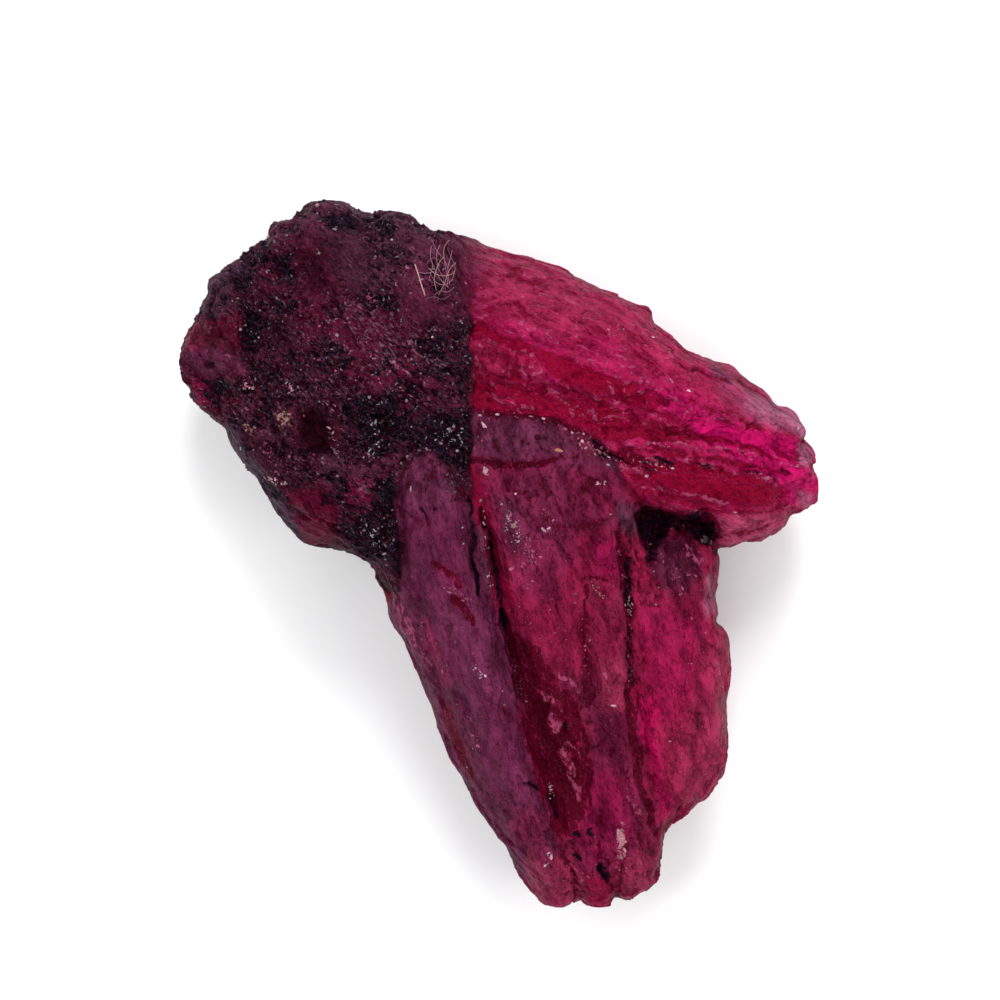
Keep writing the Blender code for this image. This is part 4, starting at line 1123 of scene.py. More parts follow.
def opaque(colour):
    return (*colour, 1)


def stone_finish(settings, colours):
    """Waxy ruby: plain paint under deep red, black and pale layers that break up along blades and grit."""
    finish = StoneFinish()
    lump, lively, plain = finish.lump, finish.lively, finish.plain
    product, most, ramp, mix = finish.product, finish.most, finish.ramp, finish.mix
    blotches, ribs, flakes, seams, chinks = map(finish.along, (BLOTCHES, RIBS, FLAKES, SEAMS, CHINKS))
    dust = finish.noise(plain, 9.0, 3.0, 0.65)

    # Plain paint with its blotches, hazy pink above and deeper below.
    on_body = product(ramp(blotches, 0.38, 0.62, 0.80, 1.18), ramp(ribs, 0.34, 0.66, 0.92, 1.08))
    tone = mix(lump, on_body, ramp(ribs, 0.36, 0.64, 0.40, 1.40), "FLOAT")
    colour = finish.times(finish.paint(), finish.sum("ADD", tone, ramp(dust, 0.3, 0.7, -0.20, 0.20)))
    haze = product(ramp(blotches, 0.46, 0.66, 0.0, 0.08), lively)
    colour = mix(haze, colour, opaque(colours.blade_flakes))

    # Deep red hollows, partly painted shade, and hair cracks.
    deep = finish.broken(finish.mask("deep"), chinks, 0.75, 0.38, 0.56)
    hair = product(finish.thin_lines(ribs, 0.020, blotches, 0.50, 0.44), ramp(lively, 0.0, 1.0, 0.3, 0.6))
    cracks = product(finish.thin_lines(seams, 0.012, chinks, 0.46, 0.54), finish.on_parts(0.75, 0.2))
    deep = most(deep, most(hair, cracks))
    on_blades = mix(finish.wing, opaque(colours.finger_shade_and_cracks), opaque(colours.wing_shade_and_cracks))
    colour = mix(product(deep, 0.85), colour, mix(lump, on_blades, opaque(colours.lump_shade_and_cracks)))

    # Black mica.
    mica = finish.mask("dark")
    dark = finish.broken(mica, chinks, 1.0, 0.40, 0.54)
    dark_colour = mix(ramp(blotches, 0.45, 0.6), opaque(colours.mica), opaque(colours.blue_mica))
    colour = mix(product(dark, 0.95), colour, dark_colour)

    # Pale flakes and their thin edges; the pale mask also holds highlights painted on ridges and ledges.
    bare = ramp(mica, 0.6, 1.0, 1.0, 0.35)
    pale = finish.broken(product(finish.mask("pale"), bare), flakes, 1.0, 0.42, 0.62)
    edges = product(finish.thin_lines(flakes, 0.024, chinks, 0.48, 0.54), product(lively, bare))
    pale = most(pale, product(edges, finish.on_parts(0.45, 1.0)))
    crust_flake = mix(ramp(mica, 0.4, 0.9), opaque(colours.lump_flakes), opaque(colours.mica_flakes))
    pale_colour = mix(lump, opaque(colours.blade_flakes), crust_flake)
    colour = mix(product(pale, finish.on_parts(0.5, 0.62)), colour, pale_colour)

    # The lump's grains: light curled rims round dark cells, and bright crumbs, partly painted glints.
    shake = finish.node("ShaderNodeTexNoise", Vector=plain, Scale=3.2, Detail=2.0).outputs["Color"]
    shaken_places = finish.vector("MULTIPLY_ADD", shake, (0.5, 0.5, 0.5), plain)
    crusty = product(lump, lively)
    to_edge = {"feature": "DISTANCE_TO_EDGE"}
    rims = finish.node("ShaderNodeTexVoronoi", to_edge, Vector=shaken_places, Scale=3.0).outputs["Distance"]
    rims = product(ramp(rims, 0.04, 0.09, 1.0, 0.0), ramp(flakes, 0.50, 0.58), crusty)
    colour = mix(product(rims, 0.55), colour, crust_flake)
    crumb = product(finish.specks(shaken_places, 4.4, 0.80, 0.08, 0.34), crusty)
    colour = mix(product(crumb, 0.7), colour, opaque(colours.crumbs))

    # A few pink flecks, all over the stone.
    # Painted glints: the flecks stand in for the sparkle of small facets.
    glint_fleck = finish.specks(plain, 2.3, 0.80, 0.02, 0.15)
    colour = mix(product(glint_fleck, 0.55), colour, opaque(colours.flecks))

    finish.set(Base_Color=finish.times(colour, settings.colour_depth))
    polish = finish.noise(plain, 2.2, 4.0, 0.6)
    finish.set(Roughness=ramp(polish, 0.3, 0.7, 0.32, 0.48))
    bumps = finish.sum("MULTIPLY_ADD", dust, 0.30, product(ribs, 0.7))
    bumps = finish.sum("MULTIPLY_ADD", blotches, 0.8, bumps)
    bumps = finish.sum("MULTIPLY_ADD", most(pale, most(rims, crumb)), 0.32, bumps)
    bumps = finish.sum("MULTIPLY_ADD", most(deep, dark), -0.40, bumps)
    bump = finish.node("ShaderNodeBump", Height=bumps, Strength=1.0, Distance=0.00024)
    finish.set(Normal=bump.outputs[0])
    finish.set(IOR=CORUNDUM_IOR, Specular_IOR_Level=settings.gloss)
    finish.set(Subsurface_Weight=settings.glow, Subsurface_Scale=0.0003)
    finish.set(Subsurface_Radius=(1.0, 0.12, 0.28))
    return finish.material


# Loose-looking mineral grains that stand out of the skin: paint, place on the sheet, half sizes and turn.
Grain = namedtuple("Grain", "paint across down half_length half_width turn")

GRAINS = rows(
    Grain,
    ("pearl", 320, 209, 3, 2, 40), ("chip", 320, 218, 2.5, 1.6, 80), ("pearl", 270, 237, 4, 2.6, 30),
    ("chip", 338, 235, 2.6, 1.8, 0), ("chip", 338, 208, 2.2, 1.4, 60), ("pearl", 244, 332, 2.2, 1.6, 0),
    ("chip", 262, 340, 1.8, 1.4, 0), ("chip", 381, 235, 2, 1.2, 30), ("chip", 394, 245, 2, 1.5, 0),
    ("blush", 410, 274, 2.4, 1.4, 0), ("blush", 418, 225, 2.4, 1.4, 70),
    ("pearl", 434, 341, 1.8, 1.6, 0), ("blush", 454, 277, 2.2, 1.5, 50), ("chip", 463, 327, 1.6, 1.3, 0),
    ("blush", 466, 287, 3, 1.2, -50), ("blush", 204, 370, 2.4, 2, 0), ("chip", 255, 450, 1.8, 1.4, 0),
    ("chip", 374, 536, 2, 1.6, 0), ("chip", 366, 530, 3, 1.2, 40), ("sand", 323, 258, 3.4, 1.6, -70),
    ("sand", 291, 421, 3.6, 2.8, 0), ("sand", 284, 418, 2.2, 1.6, 0), ("sand", 283, 427, 2, 1.6, 0),
    ("sand", 249, 431, 3, 1.2, 60), ("blush", 294, 390, 2.6, 1.5, 30),
    ("blush", 251, 388, 3.2, 1.4, -20), ("chip", 266, 478, 3.2, 1.2, -20),
    ("pearl", 275, 482, 3.0, 1.1, -10), ("chip", 289, 484, 2.6, 1.4, 30),
    ("chip", 241, 448, 5.0, 1.4, 75), ("chip", 378, 423, 4.6, 1.5, 70), ("chip", 395, 425, 2.6, 1.4, 0),
    ("chip", 454, 440, 5.2, 1.5, 28), ("chip", 451, 431, 3.4, 1.3, 75), ("chip", 441, 444, 3.0, 1.2, 70),
    ("chip", 458, 452, 2.6, 1.6, 0), ("chip", 462, 446, 2.0, 1.2, -60), ("chip", 437, 441, 1.8, 1.3, 30),
    ("pearl", 428, 450, 2.2, 1.2, -50), ("chip", 372, 452, 2.8, 1.2, 60),
    ("chip", 366, 458, 2.2, 1.2, 40), ("slate", 384, 458, 2.4, 1.4, 0), ("chip", 398, 521, 1.6, 1.3, 0),
    ("chip", 386, 559, 1.8, 1.4, 0), ("chip", 431, 451, 2.0, 1.0, 0),
    # Wing.
    ("blush", 481, 291, 1.8, 1.5, 0), ("blush", 547, 286, 2, 1.8, 0), ("blush", 538, 309, 1.8, 1.5, 0),
    ("blush", 529, 280, 1.4, 1.2, 0), ("blush", 475, 326, 2.6, 1.6, -60),
    ("blush", 578, 292, 3, 1.8, 20), ("pearl", 607, 332, 1.6, 1.4, 0), ("pearl", 622, 331, 1.8, 1.5, 0),
    ("blush", 574, 340, 2.6, 1.4, 20), ("pearl", 652, 338, 2.4, 1.4, -35),
    ("blush", 669, 382, 3.4, 1.5, -40), ("pearl", 687, 392, 3.2, 1.4, -10),
    ("pearl", 480, 417, 2.6, 1.4, 10), ("pearl", 497, 416, 2.6, 1.5, -30),
    ("blush", 515, 418, 2.0, 1.2, 0), ("pearl", 530, 418, 3.4, 1.4, 10),
    ("pearl", 543, 420, 2.6, 1.6, -10), ("blush", 564, 430, 2.4, 1.5, -30),
    ("pearl", 571, 434, 2.2, 1.6, 0), ("blush", 577, 439, 2.2, 1.8, 0),
    ("pearl", 582, 435, 2.2, 1.6, 40), ("pearl", 581, 442, 2.4, 1.8, 0),
    ("blush", 588, 446, 2.6, 1.6, -40), ("blush", 598, 452, 3.0, 1.6, -20),
    ("pearl", 608, 458, 2.6, 1.4, -20), ("blush", 592, 434, 2.0, 1.4, 50),
    ("pearl", 484, 427, 5.6, 1.9, -48), ("pearl", 645, 476, 3.6, 1.6, 10),
    ("blush", 684, 460, 3.4, 1.4, 10), ("pearl", 735, 512, 2.6, 1.6, 0),
    ("blush", 695, 510, 2.6, 1.5, 10), ("blush", 765, 478, 4.6, 3.0, 0),
    ("pearl", 798, 428, 4.6, 2.6, 60), ("blush", 802, 444, 4.4, 2.8, 80),
    ("blush", 806, 456, 4.2, 2.6, 100), ("blush", 797, 466, 3.8, 2.4, 40),
    # Centre block.
    ("pearl", 486, 472, 5.2, 3.0, 65), ("straw", 558, 451, 6.2, 2.2, -8),
    ("pearl", 596, 483, 1.8, 1.5, 0), ("pearl", 603, 482, 2.6, 1.3, 20),
    ("pearl", 609, 514, 1.8, 1.4, 0), ("pearl", 515, 494, 2.4, 1.2, 30),
    ("sand", 514, 525, 3.6, 2.6, 30), ("pearl", 543, 530, 3.8, 1.8, -50),
    ("pearl", 548, 528, 2.6, 1.4, 30), ("blush", 510, 515, 2.6, 1.4, 50),
    ("blush", 506, 541, 2.2, 1.6, 0), ("pearl", 518, 541, 2.2, 1.3, 20),
    ("blush", 532, 550, 3.0, 2.0, -20), ("blush", 540, 556, 2.4, 1.6, 0),
    ("blush", 528, 560, 2.2, 1.5, 40), ("blush", 512, 567, 4.0, 2.2, 40),
    ("blush", 527, 587, 2.0, 1.4, 0), ("blush", 565, 560, 2.0, 1.4, 0),
    ("chip", 484, 523, 2.8, 1.2, -60), ("blush", 548, 514, 2.4, 1.4, -30),
    ("blush", 552, 520, 2.2, 1.3, 40), ("chip", 628, 600, 1.5, 1.3, 0), ("chip", 629, 612, 1.5, 1.2, 0),
    ("pearl", 612, 703, 3.0, 1.5, 0),
    # Left finger and the tips.
    ("chip", 463, 527, 1.7, 1.4, 0), ("chip", 464, 543, 1.8, 1.3, 30), ("chip", 412, 489, 4.0, 1.2, 85),
    ("chip", 476, 665, 1.5, 1.3, 0), ("chip", 481, 672, 1.6, 1.2, 0), ("pearl", 502, 688, 1.6, 1.3, 0),
    ("chip", 504, 702, 1.5, 1.2, 0), ("pearl", 526, 700, 1.7, 1.3, 0), ("chip", 473, 747, 1.6, 1.2, 0),
    ("chip", 479, 744, 1.5, 1.2, 0), ("pearl", 467, 768, 1.8, 1.5, 0), ("chip", 551, 785, 2.2, 1.4, 0),
    ("chip", 550, 798, 1.5, 1.2, 0), ("pearl", 551, 855, 4.6, 2.4, 60),
    ("pearl", 545, 864, 2.6, 1.5, 50), ("bone", 621, 838, 20, 4.8, 94), ("chip", 579, 903, 5.0, 1.8, 0),
    ("chip", 709, 539, 6.0, 2.8, -42),
    # Slab.
    ("blush", 691, 618, 1.6, 1.4, 0), ("blush", 686, 671, 1.8, 1.2, 0), ("blush", 681, 757, 1.7, 1.3, 0),
    ("pearl", 669, 740, 1.6, 1.2, 0), ("blush", 705, 775, 3.0, 1.4, -20),
    ("pearl", 723, 688, 1.7, 1.3, 0), ("chip", 653, 571, 1.7, 1.2, 0), ("chip", 658, 587, 1.6, 1.2, 0),
    ("chip", 655, 604, 1.5, 1.2, 0),
)


# Small crumbs strewn along a line, partly pale specks that stand in for glints: paint, how many, half size, spread to
# each side, and the line.
Crumbs = namedtuple("Crumbs", "paint count half spread line")

CRUMBS = rows(
    Crumbs,
    # Along the foot of the wing.
    ("blush", 60, 0.9, 4.0, ((476, 415), (500, 416), (520, 418), (560, 427), (580, 438), (602, 454))),
    ("blush", 40, 1.2, 5.0, ((566, 430), (590, 442), (604, 456))),
    ("chip", 16, 1.2, 7.0, ((598, 452), (612, 462), (630, 468))),
    ("blush", 16, 1.3, 8.0, ((604, 452), (630, 464), (656, 472))),
    ("pearl", 30, 1.1, 3.4, ((632, 458), (650, 464), (668, 466))),
    ("blush", 24, 1.1, 3.0, ((696, 464), (712, 468))),
    ("blush", 24, 1.2, 3.6, ((744, 472), (762, 478), (776, 480))),
    ("blush", 40, 1.1, 2.4, ((640, 444), (700, 450), (760, 458))),
    ("blush", 26, 1.1, 4.0, ((560, 402), (588, 414), (604, 424))),
    ("blush", 16, 1.1, 5.0, ((590, 332), (624, 334))),
    ("sand", 20, 1.2, 4.0, ((580, 448), (604, 456))),
    # On the centre block.
    ("pearl", 14, 1.2, 2.6, ((484, 468), (488, 476))),
    ("chip", 30, 0.9, 5.0, ((506, 502), (508, 530))),
    ("pearl", 26, 0.9, 6.0, ((514, 518), (518, 544))),
    ("blush", 30, 1.0, 6.0, ((546, 506), (550, 534))),
    ("blush", 60, 1.2, 7.0, ((524, 536), (534, 560), (520, 566))),
    ("pearl", 10, 1.1, 2.0, ((596, 484), (606, 482))),
    ("sand", 20, 1.2, 4.0, ((590, 580), (600, 596))),
    ("blush", 24, 1.0, 3.0, ((571, 580), (584, 640), (586, 680))),
    ("blush", 30, 1.0, 22.0, ((520, 600), (560, 640))),
    # Between the centre block and the slab.
    ("blush", 16, 1.1, 2.0, ((617, 540), (620, 560), (624, 580))),
    ("pearl", 20, 1.2, 3.0, ((627, 594), (629, 616))),
    ("blush", 20, 1.1, 2.4, ((628, 620), (630, 690))),
    ("blush", 9, 1.1, 5.0, ((656, 524), (694, 530))),
    ("chip", 18, 1.2, 3.0, ((704, 538), (712, 545))),
    ("blush", 50, 1.1, 12.0, ((664, 550), (684, 590))),
    ("blush", 30, 1.0, 26.0, ((690, 640), (690, 760))),
    # On the left finger.
    ("smoke", 40, 1.1, 6.0, ((448, 474), (462, 494))),
    ("blush", 22, 1.1, 4.0, ((446, 584), (472, 600))),
    ("blush", 34, 1.1, 5.0, ((424, 620), (446, 676))),
    ("pearl", 14, 1.1, 2.6, ((474, 662), (484, 674))),
    ("blush", 34, 1.2, 4.0, ((462, 700), (482, 750), (496, 772))),
    ("blush", 26, 1.0, 2.4, ((514, 664), (524, 700))),
    ("pearl", 20, 1.0, 2.6, ((482, 500), (490, 590))),
    # On the tips.
    ("pearl", 14, 1.1, 3.4, ((548, 784), (553, 798))),
    ("pearl", 14, 1.2, 3.0, ((550, 850), (545, 862))),
    ("bone", 34, 1.8, 3.0, ((622, 818), (620, 858))),
    ("blush", 40, 1.1, 16.0, ((560, 860), (600, 870), (640, 860))),
    # On the lump.
    ("sand", 34, 1.5, 5.0, ((284, 410), (290, 426))),
    ("sand", 20, 1.4, 2.4, ((245, 430), (250, 425), (256, 430), (251, 435))),
    ("pearl", 26, 1.4, 2.4, ((260, 475), (274, 480), (290, 484))),
    ("pearl", 18, 1.2, 2.0, ((291, 386), (297, 391), (292, 397))),
    ("chip", 30, 1.1, 9.0, ((374, 416), (380, 440), (372, 458))),
    ("chip", 40, 1.1, 9.0, ((438, 444), (452, 434), (462, 446))),
    ("chip", 30, 1.1, 12.0, ((366, 524), (380, 552))),
    ("blush", 22, 1.3, 2.4, ((396, 366), (404, 372), (413, 378))),
    ("blush", 14, 1.3, 2.2, ((366, 298), (372, 302), (380, 306))),
    ("pearl", 18, 1.3, 2.4, ((332, 428), (337, 440), (339, 456))),
    ("blush", 30, 1.2, 7.0, ((262, 446), (284, 470))),
    ("pearl", 16, 1.2, 4.0, ((246, 386), (256, 390))),
    ("blush", 60, 1.1, 26.0, ((300, 350), (400, 370), (330, 420))),
    ("smoke", 60, 1.2, 26.0, ((370, 430), (440, 400), (450, 440))),
)


GRAIN_TONES = (0.35, 0.85)  # from the darkest grain to the lightest, against its own paint
STEEP = 0.3  # no crumb stays where the skin faces up less than this


def strewn_crumbs(rng):
    """Every crumb as a grain, with its own place, size and turn."""
    grains = []
    for crumbs in CRUMBS:
        line = np.array(crumbs.line, float)
        lengths = np.linalg.norm(np.diff(line, axis=0), axis=1)
        for _ in range(crumbs.count):
            run = rng.choice(len(lengths), p=lengths / lengths.sum())
            along = line[run] + rng.uniform() * (line[run + 1] - line[run])
            place = along + rng.normal(size=2) * crumbs.spread * 0.6
            size = crumbs.half * (0.5 + 1.4 * rng.uniform() ** 2.5)
            length, width = size * rng.uniform(0.9, 1.5), size * rng.uniform(0.5, 0.9)
            grains.append(Grain(crumbs.paint, place[0], place[1], length, width, rng.uniform(0, 180)))
    return grains


def grain_form(rng, subdivisions):
    """One broken grain about the origin, about one unit to each half size."""
    shape = bmesh.new()
    bmesh.ops.create_icosphere(shape, subdivisions=subdivisions, radius=1.0)
    cuts = [(Vector(rng.normal(size=3)).normalized(), rng.uniform(0.4, 0.8)) for _ in range(8)]
    for corner in shape.verts:
        for cut, reach in cuts:
            over = corner.co.dot(cut) - reach
            if over > 0:
                corner.co -= cut * over
    corners = [corner.co.copy() for corner in shape.verts]
    faces = [[corner.index for corner in face.verts] for face in shape.faces]
    shape.free()
    return corners, faces


SKY = 40  # height over the stone from which small things are let down onto it, in mm


def below(skin, across, down):
    """The place on the skin under a place given in mm, and which way the skin faces there."""
    place, normal, _, _ = skin.ray_cast(Vector((across, down, SKY)), Vector((0, 0, -1)))
    return place, normal


def grains_mesh(skin, settings, paints):
    """All the pale mineral grains and crumbs, the crumbs partly standing in for glints, each sunk halfway into the
    stone's skin.
    """
    rng = np.random.default_rng(SEED)
    corners, faces, colours = [], [], []
    for grain in [*GRAINS, *strewn_crumbs(rng)]:
        found, normal = below(skin, *off_sheet(grain.across, grain.down))
        if found is None and grain in GRAINS:
            raise RuntimeError(f"no stone under the grain at {grain.across}, {grain.down}")
        if found is None or (normal.z < STEEP and grain not in GRAINS):
            continue
        form, rings = grain_form(rng, 2 if grain.half_length > 2 else 1)
        height = min(grain.half_width, 4) * 0.75
        half = Vector((grain.half_length, grain.half_width, height)) / STEPS_PER_MM * settings.grain_size
        upright = normal.to_track_quat("Z", "Y").to_matrix().to_4x4()
        spin = Matrix.Rotation(math.radians(grain.turn) - upright.to_euler().z, 4, "Z")
        place = Matrix.Translation(found + normal * half.z * 0.15) @ upright @ spin
        first = len(corners)
        tone = rng.uniform(*GRAIN_TONES)
        for corner in form:
            corners.append(place @ Vector((corner.x * half.x, corner.y * half.y, corner.z * half.z)))
            colours.append(np.array(paints[grain.paint]) * tone)
        faces += [[first + i for i in ring] for ring in rings]
    mesh = bpy.data.meshes.new("pale_grains")
    mesh.from_pydata(corners, [], faces)
    mesh.update()
    put_paint(mesh, np.clip(np.array(colours), 0, 1))
    return mesh


def grain_finish(settings):
    """Dull broken mineral, a little clearer than the stone."""
    finish = Finish("pale_grain")
    plain = finish.places()
    speckle = finish.noise(plain, 14.0, 3.0, 0.6)
    colour = finish.times(finish.paint(), finish.ramp(speckle, 0.34, 0.66, 0.5, 1.35))
    finish.set(Base_Color=colour, Roughness=finish.ramp(speckle, 0.3, 0.7, 0.3, 0.5))
    bump = finish.node("ShaderNodeBump", Height=speckle, Strength=0.6, Distance=0.00005)
    finish.set(Normal=bump.outputs[0])
    finish.set(IOR=1.6, Specular_IOR_Level=settings.gloss, Subsurface_Weight=0.2, Subsurface_Scale=0.0003)
    finish.set(Subsurface_Radius=(1.0, 0.6, 0.6))
    return finish.material


# Fibres that have settled on the stone: paint, thickness in mm, and the way they lie on the sheet.
Fibre = namedtuple("Fibre", "paint thickness lift way")

FIBRES = rows(
    Fibre,
    ("sand", 0.06, 0.10, ((417, 270), (420, 279), (423, 289), (427, 301))),
    ("grit", 0.026, 0.14, ((450, 244), (445, 254), (446, 268), (448, 280), (449, 292))),
    ("grit", 0.026, 0.18, ((433, 245), (438, 256), (446, 266), (450, 278))),
    ("grit", 0.026, 0.12, ((453, 254), (451, 264), (449, 276), (451, 290))),
    ("sand", 0.026, 0.16, ((430, 274), (438, 280), (447, 281), (455, 278))),
    ("grit", 0.026, 0.12, ((433, 266), (437, 276), (443, 286), (450, 293))),
    ("grit", 0.024, 0.14, ((441, 250), (438, 262), (440, 274), (446, 286))),
    ("sand", 0.024, 0.12, ((457, 266), (450, 276), (446, 288), (440, 300))),
    ("grit", 0.024, 0.10, ((433, 252), (432, 262), (434, 272), (431, 284))),
    ("sand", 0.024, 0.14, ((445, 262), (440, 270), (436, 284), (438, 296))),
    ("grit", 0.024, 0.10, ((454, 284), (446, 290), (438, 288), (433, 281))),
    ("grit", 0.022, 0.12, ((448, 252), (452, 262), (456, 272), (453, 286))),
    ("smoke", 0.022, 0.10, ((428, 270), (434, 264), (441, 266), (447, 272))),
    ("grit", 0.022, 0.10, ((420, 278), (428, 279), (436, 277))),
    ("grit", 0.022, 0.10, ((436, 300), (442, 296), (449, 297), (455, 292))),
    ("smoke", 0.022, 0.08, ((452, 300), (444, 304), (436, 302), (428, 304))),
)


def curve_through(points, steps=10):
    """Places along a smooth curve through the points."""
    points = [Vector(point) for point in points]
    ends = [points[0] * 2 - points[1], *points, points[-1] * 2 - points[-2]]
    way = []
    for i in range(len(points) - 1):
        a, b, c, d = ends[i : i + 4]
        for step in range(steps):
            t = step / steps
            bend, twist = 2 * a - 5 * b + 4 * c - d, 3 * b - a - 3 * c + d
            way.append(0.5 * (2 * b + (c - a) * t + bend * t**2 + twist * t**3))
    return [*way, points[-1]]


THREAD_SIDES = 6
SAG_ROUNDS = 24  # rounds of smoothing that draw a fibre straight over the hollows


def thread_middles(skin, fibre):
    """The middle line of a fibre, which touches the stone at both ends and bridges its hollows."""
    way = curve_through([(*off_sheet(*point), 0) for point in fibre.way])
    heights = []
    for point in way:
        found, _ = below(skin, point.x, point.y)
        if found is None:
            raise RuntimeError("a fibre lies beside the stone")
        heights.append(found.z)
    rest = np.array(heights)
    smooth = rest.copy()
    for _ in range(SAG_ROUNDS):
        smooth[1:-1] = (smooth[:-2] + 2 * smooth[1:-1] + smooth[2:]) / 4
        smooth = np.maximum(smooth, rest)
    half = fibre.thickness / 2
    arch = np.sin(np.linspace(0, math.pi, len(way))) * fibre.lift
    return [Vector((p.x, p.y, h + half * 0.8 + a)) for p, h, a in zip(way, smooth, arch)]


def lint_mesh(skin, paints):
    """The fibres as fine round threads."""
    corners, faces, colours = [], [], []
    for fibre in FIBRES:
        middles = thread_middles(skin, fibre)
        first, last = len(corners), len(middles) - 1
        for i, middle in enumerate(middles):
            ahead = (middles[min(i + 1, last)] - middles[max(i - 1, 0)]).normalized()
            across = ahead.cross(Vector((0, 0, 1))).normalized()
            over = across.cross(ahead)
            radius = fibre.thickness / 2 * (1.0 if 0 < i < last else 0.45)
            for k in range(THREAD_SIDES):
                turn = k * math.tau / THREAD_SIDES
                corners.append(middle + (across * math.cos(turn) + over * math.sin(turn)) * radius)
                colours.append(paints[fibre.paint])
        for i in range(last):
            for k in range(THREAD_SIDES):
                a, b = (first + i * THREAD_SIDES + side % THREAD_SIDES for side in (k, k + 1))
                faces.append([a, b, b + THREAD_SIDES, a + THREAD_SIDES])
        faces.append([first + k for k in reversed(range(THREAD_SIDES))])
        faces.append([len(corners) - THREAD_SIDES + k for k in range(THREAD_SIDES)])
    mesh = bpy.data.meshes.new("lint")
    mesh.from_pydata(corners, [], faces)
    mesh.update()
    put_paint(mesh, np.array(colours))
    return mesh


def lint_finish():
    """Soft dusty thread."""
    finish = Finish("lint_thread")
    wisps = finish.noise(finish.places(), 12.0, 2.0)
    finish.set(Base_Color=finish.times(finish.paint(), finish.ramp(wisps, 0.3, 0.7, 0.6, 1.15)))
    finish.set(Roughness=0.75)
    finish.set(Sheen_Weight=0.4, Sheen_Roughness=0.5, Specular_IOR_Level=0.2)
    return finish.material


def finished_piece(name, mesh, material):
    """A piece made of that mesh, brought from mm to the frame's metres, that moves with the stone's body."""
    mesh.transform(Matrix.Scale(1 / MM_PER_METRE, 4))
    mesh.materials.clear()
    mesh.materials.append(material)
    piece = bpy.data.objects.new(name, mesh)
    bpy.context.scene.collection.objects.link(piece)
    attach(piece, "root")
    return piece


def stone_skin():
    """The finished stone's skin in mm, to set small things on."""
    stone = bpy.data.objects.get("ruby_stone")
    if stone is None:
        raise RuntimeError("the stone comes before the grains and the lint")
    places, _ = vertex_places(stone.data)
    rings = [tuple(face.vertices) for face in stone.data.polygons]
    return BVHTree.FromPolygons([Vector(place) for place in places * MM_PER_METRE], rings)


def number(name, description, default, low, high, **more):
    return FloatProperty(name=name, description=description, default=default, min=low, max=high, **more)


def colour(name, description, default):
    """A colour that starts as one of the paints, or as the one given."""
    default = PAINTS.get(default, default)
    return FloatVectorProperty(name=name, description=description, subtype="COLOR", default=default, min=0, max=1)


class RubyShape(bpy.types.PropertyGroup):
    """Sizes of the stone's skin."""

    grid: number("Grid", "Spacing of the points on the stone's skin", 0.000112, 0.00008, 0.0004, unit="LENGTH")
    faces: IntProperty(
        name="Faces", description="Most triangles on the finished stone", default=186000, min=20000, max=198000)
    form_depth: number("Ledge depth", "How strongly the ledges, grooves and cracks are cut", 1.8, 0, 3)
    skin_depth: number("Skin depth", "How rough the grit and the ribs are", 1.0, 0, 2)
    growth: number("Growth", "How far the skin is let out, to make up for smoothing", 0.00009, 0, 0.0003, unit="LENGTH")
    grain_size: number("Grain size", "Size of the pale grains against their own", 1.0, 0.3, 2)


class RubyFinish(bpy.types.PropertyGroup):
    """Shine and depth of the stone's finish."""

    gloss: number("Gloss", "Strength of the shine on stone and grains", 0.01, 0, 1, subtype="FACTOR")
    glow: number("Glow", "Share of the light that passes through the skin", 0.12, 0, 1, subtype="FACTOR")
    colour_depth: number("Colour depth", "How much light the stone's paints give back", 0.70, 0.1, 2)


class RubyPaints(bpy.types.PropertyGroup):
    """The paints that the stone, its grains and its lint are laid with."""

    __annotations__ = {name: colour(name.capitalize(), PAINT_USES[name], name) for name in PAINTS}


class RubyColours(bpy.types.PropertyGroup):
    """Colours of what lies over the stone's plain paint."""

    # The three hollow colours lie where the deep layer does: painted shade in grooves, hollows and below steps, and the
    # hair cracks.
    wing_shade_and_cracks: colour("Wing hollows", "Deep red in the hollows of the wing", "scarlet")
    finger_shade_and_cracks: colour("Finger hollows", "Deep red in the hollows of the fingers", "garnet")
    lump_shade_and_cracks: colour("Lump hollows", "Darkest red in the hollows of the lump", "clot")
    mica: colour("Mica", "Black mica", "night")
    blue_mica: colour("Blue mica", "Mica with a cast of blue", "ink")
    blade_flakes: colour("Blade flakes", "Pink flakes and edges on the bladed crystals", "flake")
    lump_flakes: colour("Lump flakes", "Pale curled flakes on the lump", "grit")
    mica_flakes: colour("Mica flakes", "Grey flakes in the black mica", "smoke")
    # The bright crumbs are partly painted glints, and the pink flecks are painted glints.
    crumbs: colour("Crumbs", "Bright crumbs on the lump", "chip")
    flecks: colour("Flecks", "Pink flecks on the bladed crystals", "blush")


class RubyStudio(bpy.types.PropertyGroup):
    """The floor, the lamps and the camera."""

    floor_colour: colour("Floor", "Colour of the floor", (0.93, 0.93, 0.93))
    lamp_power: number("Lamp power", "Power of all the lamps together", 1.9, 0, 1000, unit="POWER")
    sky: number("Sky", "Strength of the even light from all around", 0.60, 0, 2)
    view_width: number("View width", "Width of what the camera sees", 0.05, 0.01, 1, unit="LENGTH")
    lens: number("Lens", "Focal length of the camera", 150, 20, 300, unit="CAMERA")


def paints_of(scene):
    """Every paint as the user has set it."""
    return {name: tuple(getattr(scene.ruby_paints, name)) for name in PAINTS}


